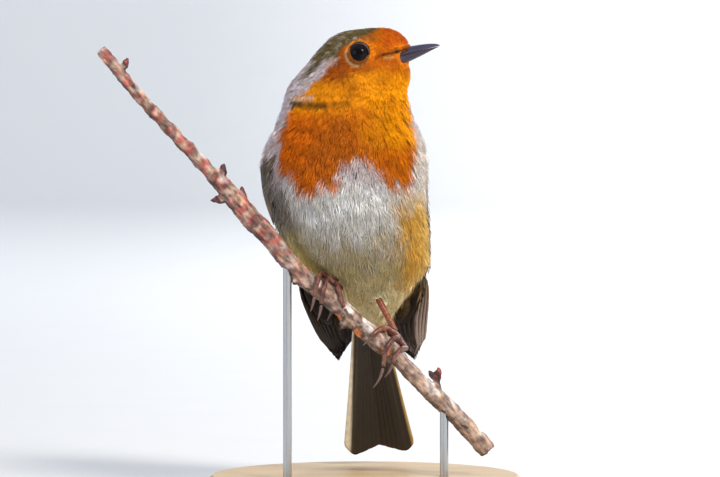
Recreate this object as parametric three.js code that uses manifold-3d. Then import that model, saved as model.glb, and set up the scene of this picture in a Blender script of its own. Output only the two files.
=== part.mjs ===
// European robin (Erithacus rubecula), life size, gripping a short cut twig on a small display stand.
// Millimetres, +Z up. The origin is the middle of the underside of the stand's base.
// The bird faces -Y and looks over its own left shoulder, towards +X.
// "left" and "right" are the bird's own sides, so its right side is at -X.
import * as THREE from "three";
import { mergeVertices } from "three/addons/utils/BufferGeometryUtils.js";
import Module from "manifold-3d";

const wasm = await Module();
wasm.setup();

const GAP = 0.3; // free space between neighbouring solids
const RIGHT = -1;
const LEFT = 1;
const SIDES = { right: RIGHT, left: LEFT };

// Head: the point midway between the eyes, and how the head is turned and raised.
const HEAD = {
  middle: new THREE.Vector3(-0.4, -6, 124),
  turn: THREE.MathUtils.degToRad(78),
  pitch: THREE.MathUtils.degToRad(8),
};
// Cranium, face and cheeks as rounded masses: ahead, left and up of the head's middle, half sizes.
const HEAD_MASSES = [
  { at: [-2.8, 0, -1.6], half: [10.6, 9.2, 8.3] },
  { at: [5.1, 0, -0.9], half: [8.4, 5.4, 7.0] },
  { at: [0.6, 0, -5.8], half: [9.0, 8.5, 6.0] },
];
const HEAD_BLEND = 2.6; // how softly the masses run into each other
const NECK_BLEND = 7; // how softly the head runs into the trunk
const EYE = { radius: 3.4, out: 6.6, ahead: 0.2, up: -0.75 };
const BILL = {
  root: 8.5,
  tip: 21.7,
  rootUp: -3.0,
  tipUp: -1.3,
  upperDepth: 2.25,
  lowerDepth: 2.5,
  halfWidth: 2.9,
  hook: 0.25,
};

// Trunk in level slices: height, middle, half width, foremost and rearmost point of the plumage.
const TRUNK = [
  { z: 42.5, x: 2.0, half: 1.6, front: 11.5, back: 16.5 },
  { z: 46, x: 2.2, half: 5.0, front: 6.5, back: 18.6 },
  { z: 51, x: 2.2, half: 10.0, front: 0.5, back: 20 },
  { z: 57, x: 1.6, half: 15.4, front: -7.5, back: 20.3 },
  { z: 65, x: -0.2, half: 18.8, front: -18, back: 20.3 },
  { z: 74.5, x: -2.7, half: 20.7, front: -25, back: 19.5 },
  { z: 82.5, x: -4.5, half: 21.8, front: -27, back: 18.5 },
  { z: 90, x: -5.2, half: 22.3, front: -27, back: 17 },
  { z: 96, x: -5.4, half: 22.0, front: -26, back: 15.3 },
  { z: 102, x: -5.2, half: 20.8, front: -23.5, back: 13.2 },
  { z: 107.5, x: -5.3, half: 19.1, front: -20.5, back: 11.5 },
  { z: 112, x: -5.5, half: 17.6, front: -18, back: 10 },
  { z: 116.5, x: -4.4, half: 16.3, front: -15.8, back: 8 },
  { z: 121, x: -2.0, half: 11.4, front: -13, back: 4.5 },
];
// Points inside the trunk, neck and head, from which their surfaces are spun.
const TRUNK_CORE = new THREE.Vector3(-3.5, -3, 79);
const NECK_CORE = new THREE.Vector3(-4, -4, 112);
const HEAD_CORE = new THREE.Vector3(0, -6, 122);
// Thin cuts that part the head from the neck and the neck from the trunk.
const HEAD_CUT = { z: 115.6, tilt: THREE.MathUtils.degToRad(8) };
const NECK_CUT = { z: 107.2, tilt: THREE.MathUtils.degToRad(-4) };
const CUT_PIVOT_Y = -4;

// Folded wings. Both lie on a sheath that follows the trunk and goes on below it as far as their
// tips. turn is where the wing's middle line lies on the sheath, in degrees from the flank towards
// the back, spread is the half width beside it, and yaw is how far the body's turn to the bird's
// left moves both wings round the sheath, all in degrees.
const SHEATH_FROM = 65;
const SHEATH_BELOW = [
  { z: 34, x: 4.6, half: 16.2, front: -9, back: 27 },
  { z: 41, x: 3.6, half: 16.9, front: -9, back: 26.5 },
  { z: 47, x: 2.3, half: 17.9, front: -9.5, back: 25 },
  { z: 55, x: 0.8, half: 19.0, front: -11.5, back: 23 },
];
const WING = [
  { z: 101.5, turn: -7, spread: 4, yaw: 10, thick: 2.0 },
  { z: 98.5, turn: 1, spread: 12, yaw: 10, thick: 2.4 },
  { z: 93, turn: 11, spread: 20, yaw: 10, thick: 3.0 },
  { z: 85, turn: 24, spread: 26, yaw: 10, thick: 3.6 },
  { z: 75, turn: 35, spread: 28, yaw: 10, thick: 4.0 },
  { z: 65, turn: 42, spread: 27, yaw: 10, thick: 4.2 },
  { z: 56, turn: 43.5, spread: 24, yaw: 10, thick: 3.4 },
  { z: 47, turn: 52, spread: 23.4, yaw: 9.2, thick: 2.2 },
  { z: 41, turn: 52, spread: 16, yaw: 7.8, thick: 1.6 },
  { z: 38, turn: 50, spread: 9, yaw: 5.5, thick: 1.3 },
  { z: 35.2, turn: 49, spread: 4, yaw: 4, thick: 1.0 },
];

// Tail: a slightly fanned, notched blade that slopes back and towards the bird's left.
const TAIL = {
  root: new THREE.Vector3(0.6, 13.6, 51.5),
  tip: new THREE.Vector3(4.4, 31.6, 8.0),
  rootHalf: 4.8,
  midHalf: 7.3,
  tipHalf: 10.0,
  notch: 2.4,
  thickRoot: 3.4,
  thickTip: 1.2,
  camber: 0.9,
};

// Twig: middle line and radius, from its thin cut end to its thick one.
const TWIG = [
  { x: -72.8, z: 124.2, r: 1.6 },
  { x: -68.6, z: 119.4, r: 1.75 },
  { x: -64.5, z: 114.2, r: 1.65 },
  { x: -60.5, z: 109.5, r: 1.65 },
  { x: -57.5, z: 106.4, r: 1.75 },
  { x: -50.5, z: 98.8, r: 1.8 },
  { x: -43.5, z: 91.2, r: 1.9 },
  { x: -39.5, z: 87.0, r: 2.4 },
  { x: -36, z: 82.8, r: 2.7 },
  { x: -31.5, z: 77.4, r: 3.0 },
  { x: -27, z: 73.0, r: 2.7 },
  { x: -21.8, z: 66.4, r: 2.8 },
  { x: -16.5, z: 60.6, r: 2.6 },
  { x: -11, z: 56.6, r: 2.9 },
  { x: -6.5, z: 52.4, r: 2.6 },
  { x: -2, z: 48.0, r: 2.7 },
  { x: 2.5, z: 44.2, r: 2.9 },
  { x: 7, z: 40.6, r: 2.8 },
  { x: 11, z: 36.4, r: 2.3 },
  { x: 17, z: 29.9, r: 2.3 },
  { x: 21.5, z: 25.8, r: 2.7 },
  { x: 27, z: 20.4, r: 2.5 },
  { x: 32, z: 14.9, r: 2.65 },
  { x: 34.5, z: 12.0, r: 2.65 },
];
const TWIG_DEPTH = { at0: -9.9, perX: 0.2 }; // y of the twig's middle line
// Buds: place along the twig, length, radius, and direction in degrees from +X in the picture plane.
const BUDS = [
  { x: -67.5, length: 4.0, r: 1.1, way: 60 },
  { x: -57.0, length: 4.2, r: 1.0, way: 128 },
  { x: -40.3, length: 4.4, r: 1.25, way: 75 },
  { x: -36.5, length: 5.2, r: 1.35, way: 187 },
  { x: -33.0, length: 6.2, r: 1.2, way: 99 },
  { x: -16.7, length: 5.4, r: 1.25, way: 188 },
  { x: -4.6, length: 3.6, r: 1.2, way: 240 },
];
const BUD_SHAPE = { along: [0, 0.3, 0.6, 0.85, 1], width: [0.75, 1, 0.95, 0.5, 0.12] };
// A short side shoot that ends in two buds.
const SPUR = { x: 20.6, length: 5.2, r: 1.3, way: 97, tip: new THREE.Vector3(-0.5, -0.9, 5.0) };
const SPUR_BUDS = [
  { reach: new THREE.Vector3(-2.6, -0.2, 3.4), r: 0.75 },
  { reach: new THREE.Vector3(0.5, -0.2, 4.2), r: 1.25 },
];

// Legs: the toes' root, the shank's upper end, set in the plumage, and the thigh's middle line.
const LEG = {
  right: {
    foot: new THREE.Vector3(-8.2, -11.0, 59.2),
    shankTop: new THREE.Vector3(-7.6, -7.0, 64.5),
    hip: new THREE.Vector3(-6.5, 2.0, 69),
    knee: new THREE.Vector3(-8.0, -7.6, 62.6),
  },
  left: {
    foot: new THREE.Vector3(8.9, -7.2, 44.8),
    shankTop: new THREE.Vector3(3.0, -2.6, 56.2),
    hip: new THREE.Vector3(2.5, 5, 64),
    knee: new THREE.Vector3(4.0, -1.6, 55.0),
  },
};
const SHANK = { rFoot: 0.95, rTop: 1.1 };
const THIGH = { rHip: 7, rMiddle: 6, rKnee: 4.0 };
const TOE = { rootR: 0.92, endR: 0.66, clawR: 0.56 };
// Front toes run over the twig and down its front, and the hind toe down its back. x is where the
// toe crosses the twig's top and lean how far it drifts along X on its way; reach is in degrees
// round the twig, and drop is how far the last joint hangs below that.
const TOES = {
  right: [
    { name: "outer", x: -12.3, lean: -1.4, reach: 96, drop: 1.8, claw: 4.8 },
    { name: "middle", x: -10.4, lean: -1.4, reach: 100, drop: 2.4, claw: 5.0 },
    { name: "inner", x: -8.0, lean: 1.8, reach: 76, drop: 0.6, claw: 3.2 },
    { name: "hind", x: -6.8, lean: -1.6, reach: -104, drop: 0.6, claw: 3.8 },
  ],
  left: [
    { name: "outer", x: 11.4, lean: -3.0, reach: 92, drop: 1.8, claw: 4.4 },
    { name: "middle", x: 8.9, lean: -3.2, reach: 100, drop: 4.6, claw: 6.4 },
    { name: "inner", x: 6.0, lean: -3.4, reach: 74, drop: 0.8, claw: 3.2 },
    { name: "hind", x: 10.4, lean: -1.8, reach: -104, drop: 0.6, claw: 3.8 },
  ],
};

// Stand: a turned disc and two rods that end in holes drilled in the twig.
const STAND = { radius: 44, height: 5, chamfer: 1, rodR: 1.2, socket: 3, drill: 1.6 };
const RODS = { left: 22.2, right: -21.6 };

// How many facets each form has: round it, and along or down it where that is set too.
const FACETS = {
  trunk: [30, 20],
  neck: [28, 14],
  head: [28, 20],
  wing: [6, 14],
  tail: [8, 8],
  eye: [14, 9],
  bill: [6, 9],
  thigh: 12,
  shank: 8,
  toe: 6,
  toeSteps: 5,
  twig: 10,
  bud: 6,
  rod: 16,
  base: 36,
};

const COLOURS = {
  olive: { color: 0x6d5f45, roughness: 0.85 },
  orange: { color: 0xd0700f, roughness: 0.85 },
  wing: { color: 0x4c3b2a, roughness: 0.75 },
  horn: { color: 0x2c2833, roughness: 0.35 },
  eye: { color: 0x0c0806, roughness: 0.08 },
  leg: { color: 0x6b3a22, roughness: 0.5 },
  bark: { color: 0x8a6048, roughness: 0.85 },
  wood: { color: 0xcdb08a, roughness: 0.55 },
  steel: { color: 0xa9abad, roughness: 0.3, metalness: 1 },
};

// ---- solids ----

// A closed geometry as a manifold-3d solid with its faces out.
function solidOf(geometry) {
  const bare = geometry.index ? geometry.toNonIndexed() : geometry.clone();
  for (const name of ["normal", "uv"]) bare.deleteAttribute(name);
  const merged = mergeVertices(bare, 1e-4);
  const make = (triVerts) =>
    new wasm.Manifold(
      new wasm.Mesh({ numProp: 3, vertProperties: merged.attributes.position.array, triVerts }),
    );
  const faces = new Uint32Array(merged.index.array);
  const made = make(faces);
  return made.volume() > 0 ? made : make(faces.reverse());
}

// A manifold-3d solid back as a geometry, with flat shading.
function geometryOf(solid) {
  const mesh = solid.getMesh();
  const geometry = new THREE.BufferGeometry();
  geometry.setAttribute("position", new THREE.BufferAttribute(mesh.vertProperties, 3));
  geometry.setIndex(new THREE.BufferAttribute(mesh.triVerts, 1));
  const flat = geometry.toNonIndexed();
  flat.computeVertexNormals();
  return flat;
}

// The largest body of a solid, without the slivers that a cut can leave.
function largest(solid) {
  return solid.decompose().reduce((a, b) => (b.volume() > a.volume() ? b : a));
}

// A closed skin round rings of equally many points, with a fan over each end ring.
function loft(rings) {
  const sides = rings[0].length;
  const middle = (ring) =>
    ring.reduce((sum, p) => sum.add(p), new THREE.Vector3()).divideScalar(sides);
  const points = [...rings.flat(), middle(rings[0]), middle(rings.at(-1))];
  const first = rings.length * sides;
  const index = [];
  for (let i = 0; i < rings.length - 1; i++)
    for (let j = 0; j < sides; j++) {
      const a = i * sides + j;
      const b = i * sides + ((j + 1) % sides);
      index.push(a, b, a + sides, b, b + sides, a + sides);
    }
  for (let j = 0; j < sides; j++) {
    const k = (j + 1) % sides;
    const last = (rings.length - 1) * sides;
    index.push(first, k, j, first + 1, last + j, last + k);
  }
  return new THREE.BufferGeometry().setFromPoints(points).setIndex(index);
}

// A round bar along points, with a radius at each point and a few steps between them.
function taperedBar(points, radii, sides, stepsPerPoint) {
  const curve = new THREE.CatmullRomCurve3(points, false, "centripetal");
  const steps = (points.length - 1) * stepsPerPoint;
  const rings = [];
  let across = new THREE.Vector3(0.31, 0.87, 0.38);
  for (let i = 0; i <= steps; i++) {
    const t = i / steps;
    const along = curve.getTangent(t);
    across = across.clone().addScaledVector(along, -across.dot(along)).normalize();
    const other = new THREE.Vector3().crossVectors(along, across);
    const k = Math.min(Math.floor(t * (radii.length - 1)), radii.length - 2);
    const r = THREE.MathUtils.lerp(radii[k], radii[k + 1], t * (radii.length - 1) - k);
    const centre = curve.getPoint(t);
    rings.push(
      Array.from({ length: sides }, (_, j) => {
        const a = (2 * Math.PI * j) / sides;
        return centre
          .clone()
          .addScaledVector(across, r * Math.cos(a))
          .addScaledVector(other, r * Math.sin(a));
      }),
    );
  }
  return loft(rings);
}

// A closed blade: point(u, v) is its middle surface, and half(u, v) is half its thickness there.
function blade(point, half, across, along) {
  const small = 1e-3;
  const normal = (u, v) => {
    const du = point(Math.min(u + small, 1), v).sub(point(Math.max(u - small, 0), v));
    const dv = point(u, Math.min(v + small, 1)).sub(point(u, Math.max(v - small, 0)));
    return du.cross(dv).normalize();
  };
  const rings = [];
  for (let j = 0; j <= along; j++) {
    const v = j / along;
    const lower = [];
    const upper = [];
    for (let i = 0; i <= across; i++) {
      const u = i / across;
      const rise = normal(u, v).multiplyScalar(half(u, v));
      upper.push(point(u, v).add(rise));
      lower.unshift(point(u, v).sub(rise));
    }
    rings.push([...upper, ...lower]);
  }
  return loft(rings);
}

// A table's rows as smooth functions: the value of a column at a given place in the column "by".
function smoothRows(rows, by = "z") {
  const sorted = [...rows].sort((a, b) => a[by] - b[by]);
  const slope = (i, key) => {
    const a = sorted[Math.max(i - 1, 0)];
    const b = sorted[Math.min(i + 1, sorted.length - 1)];
    return (b[key] - a[key]) / (b[by] - a[by]);
  };
  return (place, key) => {
    const at = THREE.MathUtils.clamp(place, sorted[0][by], sorted.at(-1)[by]);
    const i = Math.min(sorted.findLastIndex((row) => row[by] <= at), sorted.length - 2);
    const [a, b] = [sorted[i], sorted[i + 1]];
    const h = b[by] - a[by];
    const t = (at - a[by]) / h;
    const [t2, t3] = [t * t, t * t * t];
    return (
      (2 * t3 - 3 * t2 + 1) * a[key] +
      (t3 - 2 * t2 + t) * h * slope(i, key) +
      (3 * t2 - 2 * t3) * b[key] +
      (t3 - t2) * h * slope(i + 1, key)
    );
  };
}

// ---- the body's outer form, as a distance-like field: below zero inside ----

const headTurn = new THREE.Matrix4().makeBasis(
  new THREE.Vector3(
    Math.sin(HEAD.turn) * Math.cos(HEAD.pitch),
    -Math.cos(HEAD.turn) * Math.cos(HEAD.pitch),
    Math.sin(HEAD.pitch),
  ),
  new THREE.Vector3(Math.cos(HEAD.turn), Math.sin(HEAD.turn), 0),
  new THREE.Vector3(
    -Math.sin(HEAD.turn) * Math.sin(HEAD.pitch),
    Math.cos(HEAD.turn) * Math.sin(HEAD.pitch),
    Math.cos(HEAD.pitch),
  ),
);

// A point of the head, from how far it lies ahead of the eyes' middle, to the bird's left, and up.
function headPoint(ahead, left, up) {
  return new THREE.Vector3(ahead, left, up).applyMatrix4(headTurn).add(HEAD.middle);
}

const headBack = headTurn.clone().invert();

function ellipsoid(p, at, half) {
  const q = [p.x - at[0], p.y - at[1], p.z - at[2]];
  const k0 = Math.hypot(...q.map((c, i) => c / half[i]));
  const k1 = Math.hypot(...q.map((c, i) => c / half[i] ** 2));
  return k1 ? (k0 * (k0 - 1)) / k1 : -Math.min(...half);
}

function smoothUnion(a, b, blend) {
  const h = Math.max(blend - Math.abs(a - b), 0) / blend;
  return Math.min(a, b) - (h * h * blend) / 4;
}

function headField(p) {
  const local = p.clone().sub(HEAD.middle).applyMatrix4(headBack);
  return HEAD_MASSES.map((m) => ellipsoid(local, m.at, m.half)).reduce((a, b) =>
    smoothUnion(a, b, HEAD_BLEND),
  );
}

const trunkRow = smoothRows(TRUNK);

function trunkField(p) {
  const [front, back] = [trunkRow(p.z, "front"), trunkRow(p.z, "back")];
  const [half, depth] = [trunkRow(p.z, "half"), (back - front) / 2];
  const x = (p.x - trunkRow(p.z, "x")) / half;
  const y = (p.y - (front + back) / 2) / depth;
  const side = (Math.hypot(x, y) - 1) * Math.min(half, depth);
  const beyond = Math.max(TRUNK[0].z - p.z, p.z - TRUNK.at(-1).z);
  return Math.max(side, beyond);
}

const bodyField = (p) => smoothUnion(headField(p), trunkField(p), NECK_BLEND);

// The body's surface as seen from a point inside it, proud of it by an offset. Along each ray the
// surface is found in steps of a millimetre, and then by halving.
function wrap(core, [around, down], offset = 0) {
  const geometry = new THREE.SphereGeometry(1, around, down);
  const place = geometry.attributes.position;
  const halvings = 24;
  for (let i = 0; i < place.count; i++) {
    const way = new THREE.Vector3().fromBufferAttribute(place, i).normalize();
    const isInside = (far) => bodyField(core.clone().addScaledVector(way, far)) < offset;
    let outside = 1;
    while (isInside(outside)) outside += 1;
    let inside = outside - 1;
    for (let step = 0; step < halvings; step++) {
      const middle = (inside + outside) / 2;
      if (isInside(middle)) inside = middle;
      else outside = middle;
    }
    const at = core.clone().addScaledVector(way, inside);
    place.setXYZ(i, at.x, at.y, at.z);
  }
  return solidOf(geometry);
}

// A large block whose lower face is a cut through the neck, or whose upper face is.
function beyondCut(cut, above, gap) {
  const size = 200;
  const block = new THREE.BoxGeometry(size, size, size);
  block.translate(0, 0, (above ? 1 : -1) * (size / 2 + gap));
  block.rotateX(cut.tilt);
  block.translate(0, CUT_PIVOT_Y, cut.z);
  return solidOf(block);
}

function cutAway(solid, tools) {
  return tools.reduce((left, tool) => left.subtract(tool), solid);
}

// ---- the parts ----

const body = {
  trunk: wrap(TRUNK_CORE, FACETS.trunk),
  neck: wrap(NECK_CORE, FACETS.neck),
  head: wrap(HEAD_CORE, FACETS.head),
};
const clearance = {
  trunk: wrap(TRUNK_CORE, FACETS.trunk, GAP),
  head: wrap(HEAD_CORE, FACETS.head, GAP),
};

const sheathRow = smoothRows([...SHEATH_BELOW, ...TRUNK.filter((row) => row.z >= SHEATH_FROM)]);

// One wing as a blade that is wrapped on the sheath.
function foldedWing(side) {
  const row = smoothRows(WING);
  const height = (v) => THREE.MathUtils.lerp(WING[0].z, WING.at(-1).z, v);
  const point = (u, v) => {
    const z = height(v);
    const turn = row(z, "turn") + side * row(z, "yaw") + (2 * u - 1) * row(z, "spread");
    const angle = THREE.MathUtils.degToRad(turn);
    const [front, back] = [sheathRow(z, "front"), sheathRow(z, "back")];
    const x = sheathRow(z, "x") + side * sheathRow(z, "half") * Math.cos(angle);
    return new THREE.Vector3(x, (front + back) / 2 + ((back - front) / 2) * Math.sin(angle), z);
  };
  const half = (u, v) => {
    const edge = Math.sqrt(Math.max(1 - (2 * u - 1) ** 2, 0));
    return (row(height(v), "thick") / 2) * (0.35 + 0.65 * edge);
  };
  return solidOf(blade(point, half, ...FACETS.wing));
}

function tailBlade() {
  const along = TAIL.tip.clone().sub(TAIL.root);
  const across = new THREE.Vector3(1, 0, -along.x / along.z).normalize();
  const up = new THREE.Vector3().crossVectors(across, along).normalize();
  if (up.y < 0) up.negate();
  const point = (u, v) => {
    const side = 2 * u - 1;
    const fan = new THREE.QuadraticBezierCurve(
      new THREE.Vector2(0, TAIL.rootHalf),
      new THREE.Vector2(0.5, TAIL.midHalf),
      new THREE.Vector2(1, TAIL.tipHalf),
    ).getPoint(v).y;
    const corner = Math.max(Math.abs(side) - 0.72, 0) / 0.28; // rounds the outer corners
    const short = v * (TAIL.notch * (1 - Math.abs(side)) ** 1.4 + 2.2 * corner ** 2.5);
    return TAIL.root
      .clone()
      .addScaledVector(along, v - short / along.length())
      .addScaledVector(across, side * fan)
      .addScaledVector(up, TAIL.camber * (1 - side * side));
  };
  const half = (u, v) =>
    (THREE.MathUtils.lerp(TAIL.thickRoot, TAIL.thickTip, Math.sqrt(v)) / 2) *
    (0.45 + 0.55 * Math.sqrt(Math.max(1 - (2 * u - 1) ** 2, 0)));
  return solidOf(blade(point, half, ...FACETS.tail));
}

const twigRow = smoothRows(TWIG, "x");

function twigPoint(x) {
  return new THREE.Vector3(x, TWIG_DEPTH.at0 + TWIG_DEPTH.perX * x, twigRow(x, "z"));
}

// A bud: a pointed egg that grows out of the twig.
function bud({ x, length, r, way }) {
  const angle = THREE.MathUtils.degToRad(way);
  const out = new THREE.Vector3(Math.cos(angle), -0.15, Math.sin(angle)).normalize();
  const start = twigPoint(x).addScaledVector(out, twigRow(x, "r") * 0.5);
  return pointedEgg(start, out.multiplyScalar(length), r);
}

function pointedEgg(start, reach, r) {
  const points = BUD_SHAPE.along.map((t) => start.clone().addScaledVector(reach, t));
  const radii = BUD_SHAPE.width.map((w) => w * r);
  return solidOf(taperedBar(points, radii, FACETS.bud, 1));
}

// The twig without its buds, or with an extra the room that it needs.
function bareTwig(extra = 0) {
  const points = TWIG.map((p) => twigPoint(p.x));
  const radii = TWIG.map((p) => p.r + extra);
  return solidOf(taperedBar(points, radii, FACETS.twig, 1));
}

function twig() {
  const spurTip = twigPoint(SPUR.x).add(SPUR.tip);
  const spurBuds = SPUR_BUDS.map(({ reach, r }) => pointedEgg(spurTip, reach, r));
  const grown = [...BUDS.map(bud), bud(SPUR), ...spurBuds].reduce((a, b) => a.add(b), bareTwig());
  const drilled = Object.values(RODS).map((x) => rod(x, twigPoint(x).z + STAND.drill, GAP));
  return largest(cutAway(grown, drilled));
}

// An upright rod at x, or with an extra the hole that it goes into.
function rod(x, top, extra = 0) {
  const radius = STAND.rodR + extra;
  const bottom = STAND.height - STAND.socket - extra;
  const bar = new THREE.CylinderGeometry(radius, radius, top - bottom, FACETS.rod);
  bar.rotateX(Math.PI / 2);
  bar.translate(x, twigPoint(x).y, (top + bottom) / 2);
  return solidOf(bar);
}

function standBase() {
  const { radius, height, chamfer } = STAND;
  const profile = [
    [0, 0],
    [radius - chamfer / 2, 0],
    [radius, chamfer / 2],
    [radius, height - chamfer],
    [radius - chamfer, height],
    [0, height],
  ].map(([r, z]) => new THREE.Vector2(r, z));
  const disc = new THREE.LatheGeometry(profile, FACETS.base);
  disc.rotateX(Math.PI / 2);
  const holes = Object.values(RODS).map((x) => rod(x, twigPoint(x).z, GAP));
  return cutAway(solidOf(disc), holes);
}

// The middle line of a toe: up from the foot, over the twig and down, in an upright plane.
function toePath(foot, toe) {
  const points = [foot.clone()];
  for (let i = 0; i <= FACETS.toeSteps; i++) {
    const t = i / FACETS.toeSteps;
    const angle = THREE.MathUtils.degToRad(toe.reach * (0.12 + 0.88 * t));
    const x = toe.x + toe.lean * t;
    const centre = twigPoint(x);
    const slope = (twigPoint(x + 1).z - twigPoint(x - 1).z) / 2;
    const steep = Math.hypot(1, slope); // an upright plane cuts the slanted twig in a taller ellipse
    const r = twigRow(x, "r") + GAP + TOE.rootR;
    points.push(
      new THREE.Vector3(x, centre.y - r * Math.sin(angle), centre.z + steep * r * Math.cos(angle)),
    );
  }
  const end = points.at(-1);
  const back = toe.reach < 0 ? -1 : 1;
  points.push(end.clone().add(new THREE.Vector3(toe.lean * 0.2, back * 0.1, -toe.drop)));
  return points;
}

// A claw: a curved thorn that goes on from the end of its toe.
function claw(path, toe) {
  const end = path.at(-1);
  const way = end.clone().sub(path.at(-2)).normalize();
  const inward = new THREE.Vector3(toe.lean * 0.25, toe.reach < 0 ? -0.5 : 0.35, -0.75);
  const points = [0, 0.35, 0.7, 1].map((t) =>
    end
      .clone()
      .addScaledVector(way, GAP + toe.claw * t * (1 - 0.45 * t))
      .addScaledVector(inward, toe.claw * 0.45 * t * t),
  );
  return solidOf(taperedBar(points, [TOE.clawR, 0.46, 0.3, 0.14], FACETS.toe, 1));
}

// All four toes of a foot, or with an extra the room that they need.
function foot(name, extra = 0) {
  const { foot: start } = LEG[name];
  const toes = TOES[name].map((toe) => {
    const path = toePath(start, toe);
    const taper = (i) => THREE.MathUtils.lerp(TOE.rootR, TOE.endR, i / (path.length - 1));
    const radii = path.map((_, i) => taper(i) + extra);
    return solidOf(taperedBar(path, radii, FACETS.toe, 1));
  });
  return toes.reduce((a, b) => a.add(b));
}

// The bare shank, or with an extra the hole that it stands in.
function shank(name, extra = 0) {
  const { foot: start, shankTop } = LEG[name];
  const way = shankTop.clone().sub(start).normalize();
  const low = start.clone().addScaledVector(way, TOE.rootR + GAP);
  const high = shankTop.clone().addScaledVector(way, extra);
  const radii = [SHANK.rFoot, 0.9, SHANK.rTop].map((r) => r + extra);
  return solidOf(taperedBar([low, low.clone().lerp(high, 0.5), high], radii, FACETS.shank, 1));
}

function eye(side, extra = 0) {
  const ball = new THREE.SphereGeometry(EYE.radius + extra, ...FACETS.eye);
  const at = headPoint(EYE.ahead, side * EYE.out, EYE.up);
  return solidOf(ball.translate(at.x, at.y, at.z));
}

// Half of the bill: upper is 1 for the upper mandible and -1 for the lower one.
function mandible(upper) {
  const [around, steps] = FACETS.bill;
  const depth = upper > 0 ? BILL.upperDepth : BILL.lowerDepth;
  const reach = upper > 0 ? 1 : 0.97;
  const rings = [];
  for (let i = 0; i <= steps; i++) {
    const t = (i / steps) * reach;
    const ahead = THREE.MathUtils.lerp(BILL.root, BILL.tip, t);
    const mouth = THREE.MathUtils.lerp(BILL.rootUp, BILL.tipUp, t) - BILL.hook * t ** 6;
    const half = Math.max(BILL.halfWidth * (1 - t) ** 0.8, 0.3);
    const taper = upper > 0 ? (1 - t) ** 0.45 : 1 - t ** 1.5;
    const tall = Math.max(depth * taper, 0.3);
    const ring = [];
    for (let j = 0; j <= around; j++) {
      const angle = (Math.PI * j) / around;
      const up = mouth + upper * (GAP / 2 + tall * Math.sin(angle) ** 0.8);
      ring.push(headPoint(ahead, half * Math.cos(angle), up));
    }
    rings.push(ring);
  }
  return solidOf(loft(rings));
}

// The thigh's plumage: a drop that swells out of the belly round the top of the shank.
function thigh(name) {
  const { hip, knee } = LEG[name];
  const points = [hip, hip.clone().lerp(knee, 0.5), knee];
  const drop = solidOf(
    taperedBar(points, [THIGH.rHip, THIGH.rMiddle, THIGH.rKnee], FACETS.thigh, 2),
  );
  const end = new THREE.SphereGeometry(THIGH.rKnee * 0.99, FACETS.thigh, 8);
  return drop.add(solidOf(end.translate(...knee.toArray())));
}

// ---- assembly ----

const aboveHeadCut = beyondCut(HEAD_CUT, true, 0);
const belowHeadCut = beyondCut(HEAD_CUT, false, -GAP);
const aboveNeckCut = beyondCut(NECK_CUT, true, 0);
const belowNeckCut = beyondCut(NECK_CUT, false, -GAP);

const sockets = Object.values(SIDES).map((side) => eye(side, GAP));
const legRoom = Object.keys(LEG).flatMap((name) => [shank(name, GAP), foot(name, GAP)]);
const twigRoom = bareTwig(GAP);

const solids = {
  head: largest(cutAway(body.head, [belowHeadCut, ...sockets])),
  neck: largest(cutAway(body.neck, [aboveHeadCut, belowNeckCut])),
  trunk: largest(cutAway(body.trunk, [aboveNeckCut, ...legRoom])),
  bill_upper: largest(mandible(1).subtract(clearance.head)),
  bill_lower: largest(mandible(-1).subtract(clearance.head)),
  tail: largest(tailBlade().subtract(clearance.trunk)),
  perch_twig: twig(),
  stand_base: standBase(),
};
for (const [name, side] of Object.entries(SIDES)) {
  solids[`eye_${name}`] = eye(side);
  solids[`wing_${name}`] = largest(foldedWing(side).subtract(clearance.trunk));
  solids[`thigh_${name}`] = largest(cutAway(thigh(name), [clearance.trunk, ...legRoom]));
  solids[`shank_${name}`] = largest(shank(name).subtract(foot(name, GAP)));
  solids[`foot_${name}`] = largest(foot(name).subtract(twigRoom));
  for (const toe of TOES[name])
    solids[`claw_${name}_${toe.name}`] = claw(toePath(LEG[name].foot, toe), toe);
  solids[`stand_rod_${name}`] = rod(RODS[name], twigPoint(RODS[name]).z + STAND.drill - GAP);
}

const finishOf = (name) => {
  if (name.startsWith("eye")) return COLOURS.eye;
  if (name.startsWith("bill") || name.startsWith("claw")) return COLOURS.horn;
  if (name.startsWith("wing") || name === "tail") return COLOURS.wing;
  if (name.startsWith("shank") || name.startsWith("foot")) return COLOURS.leg;
  if (name.startsWith("perch")) return COLOURS.bark;
  if (name === "stand_base") return COLOURS.wood;
  if (name.startsWith("stand")) return COLOURS.steel;
  return name === "head" || name === "neck" ? COLOURS.orange : COLOURS.olive;
};

const robin = new THREE.Group();
for (const [name, solid] of Object.entries(solids)) {
  const mesh = new THREE.Mesh(geometryOf(solid), new THREE.MeshStandardMaterial(finishOf(name)));
  mesh.name = name;
  robin.add(mesh);
}

export default robin;
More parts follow.
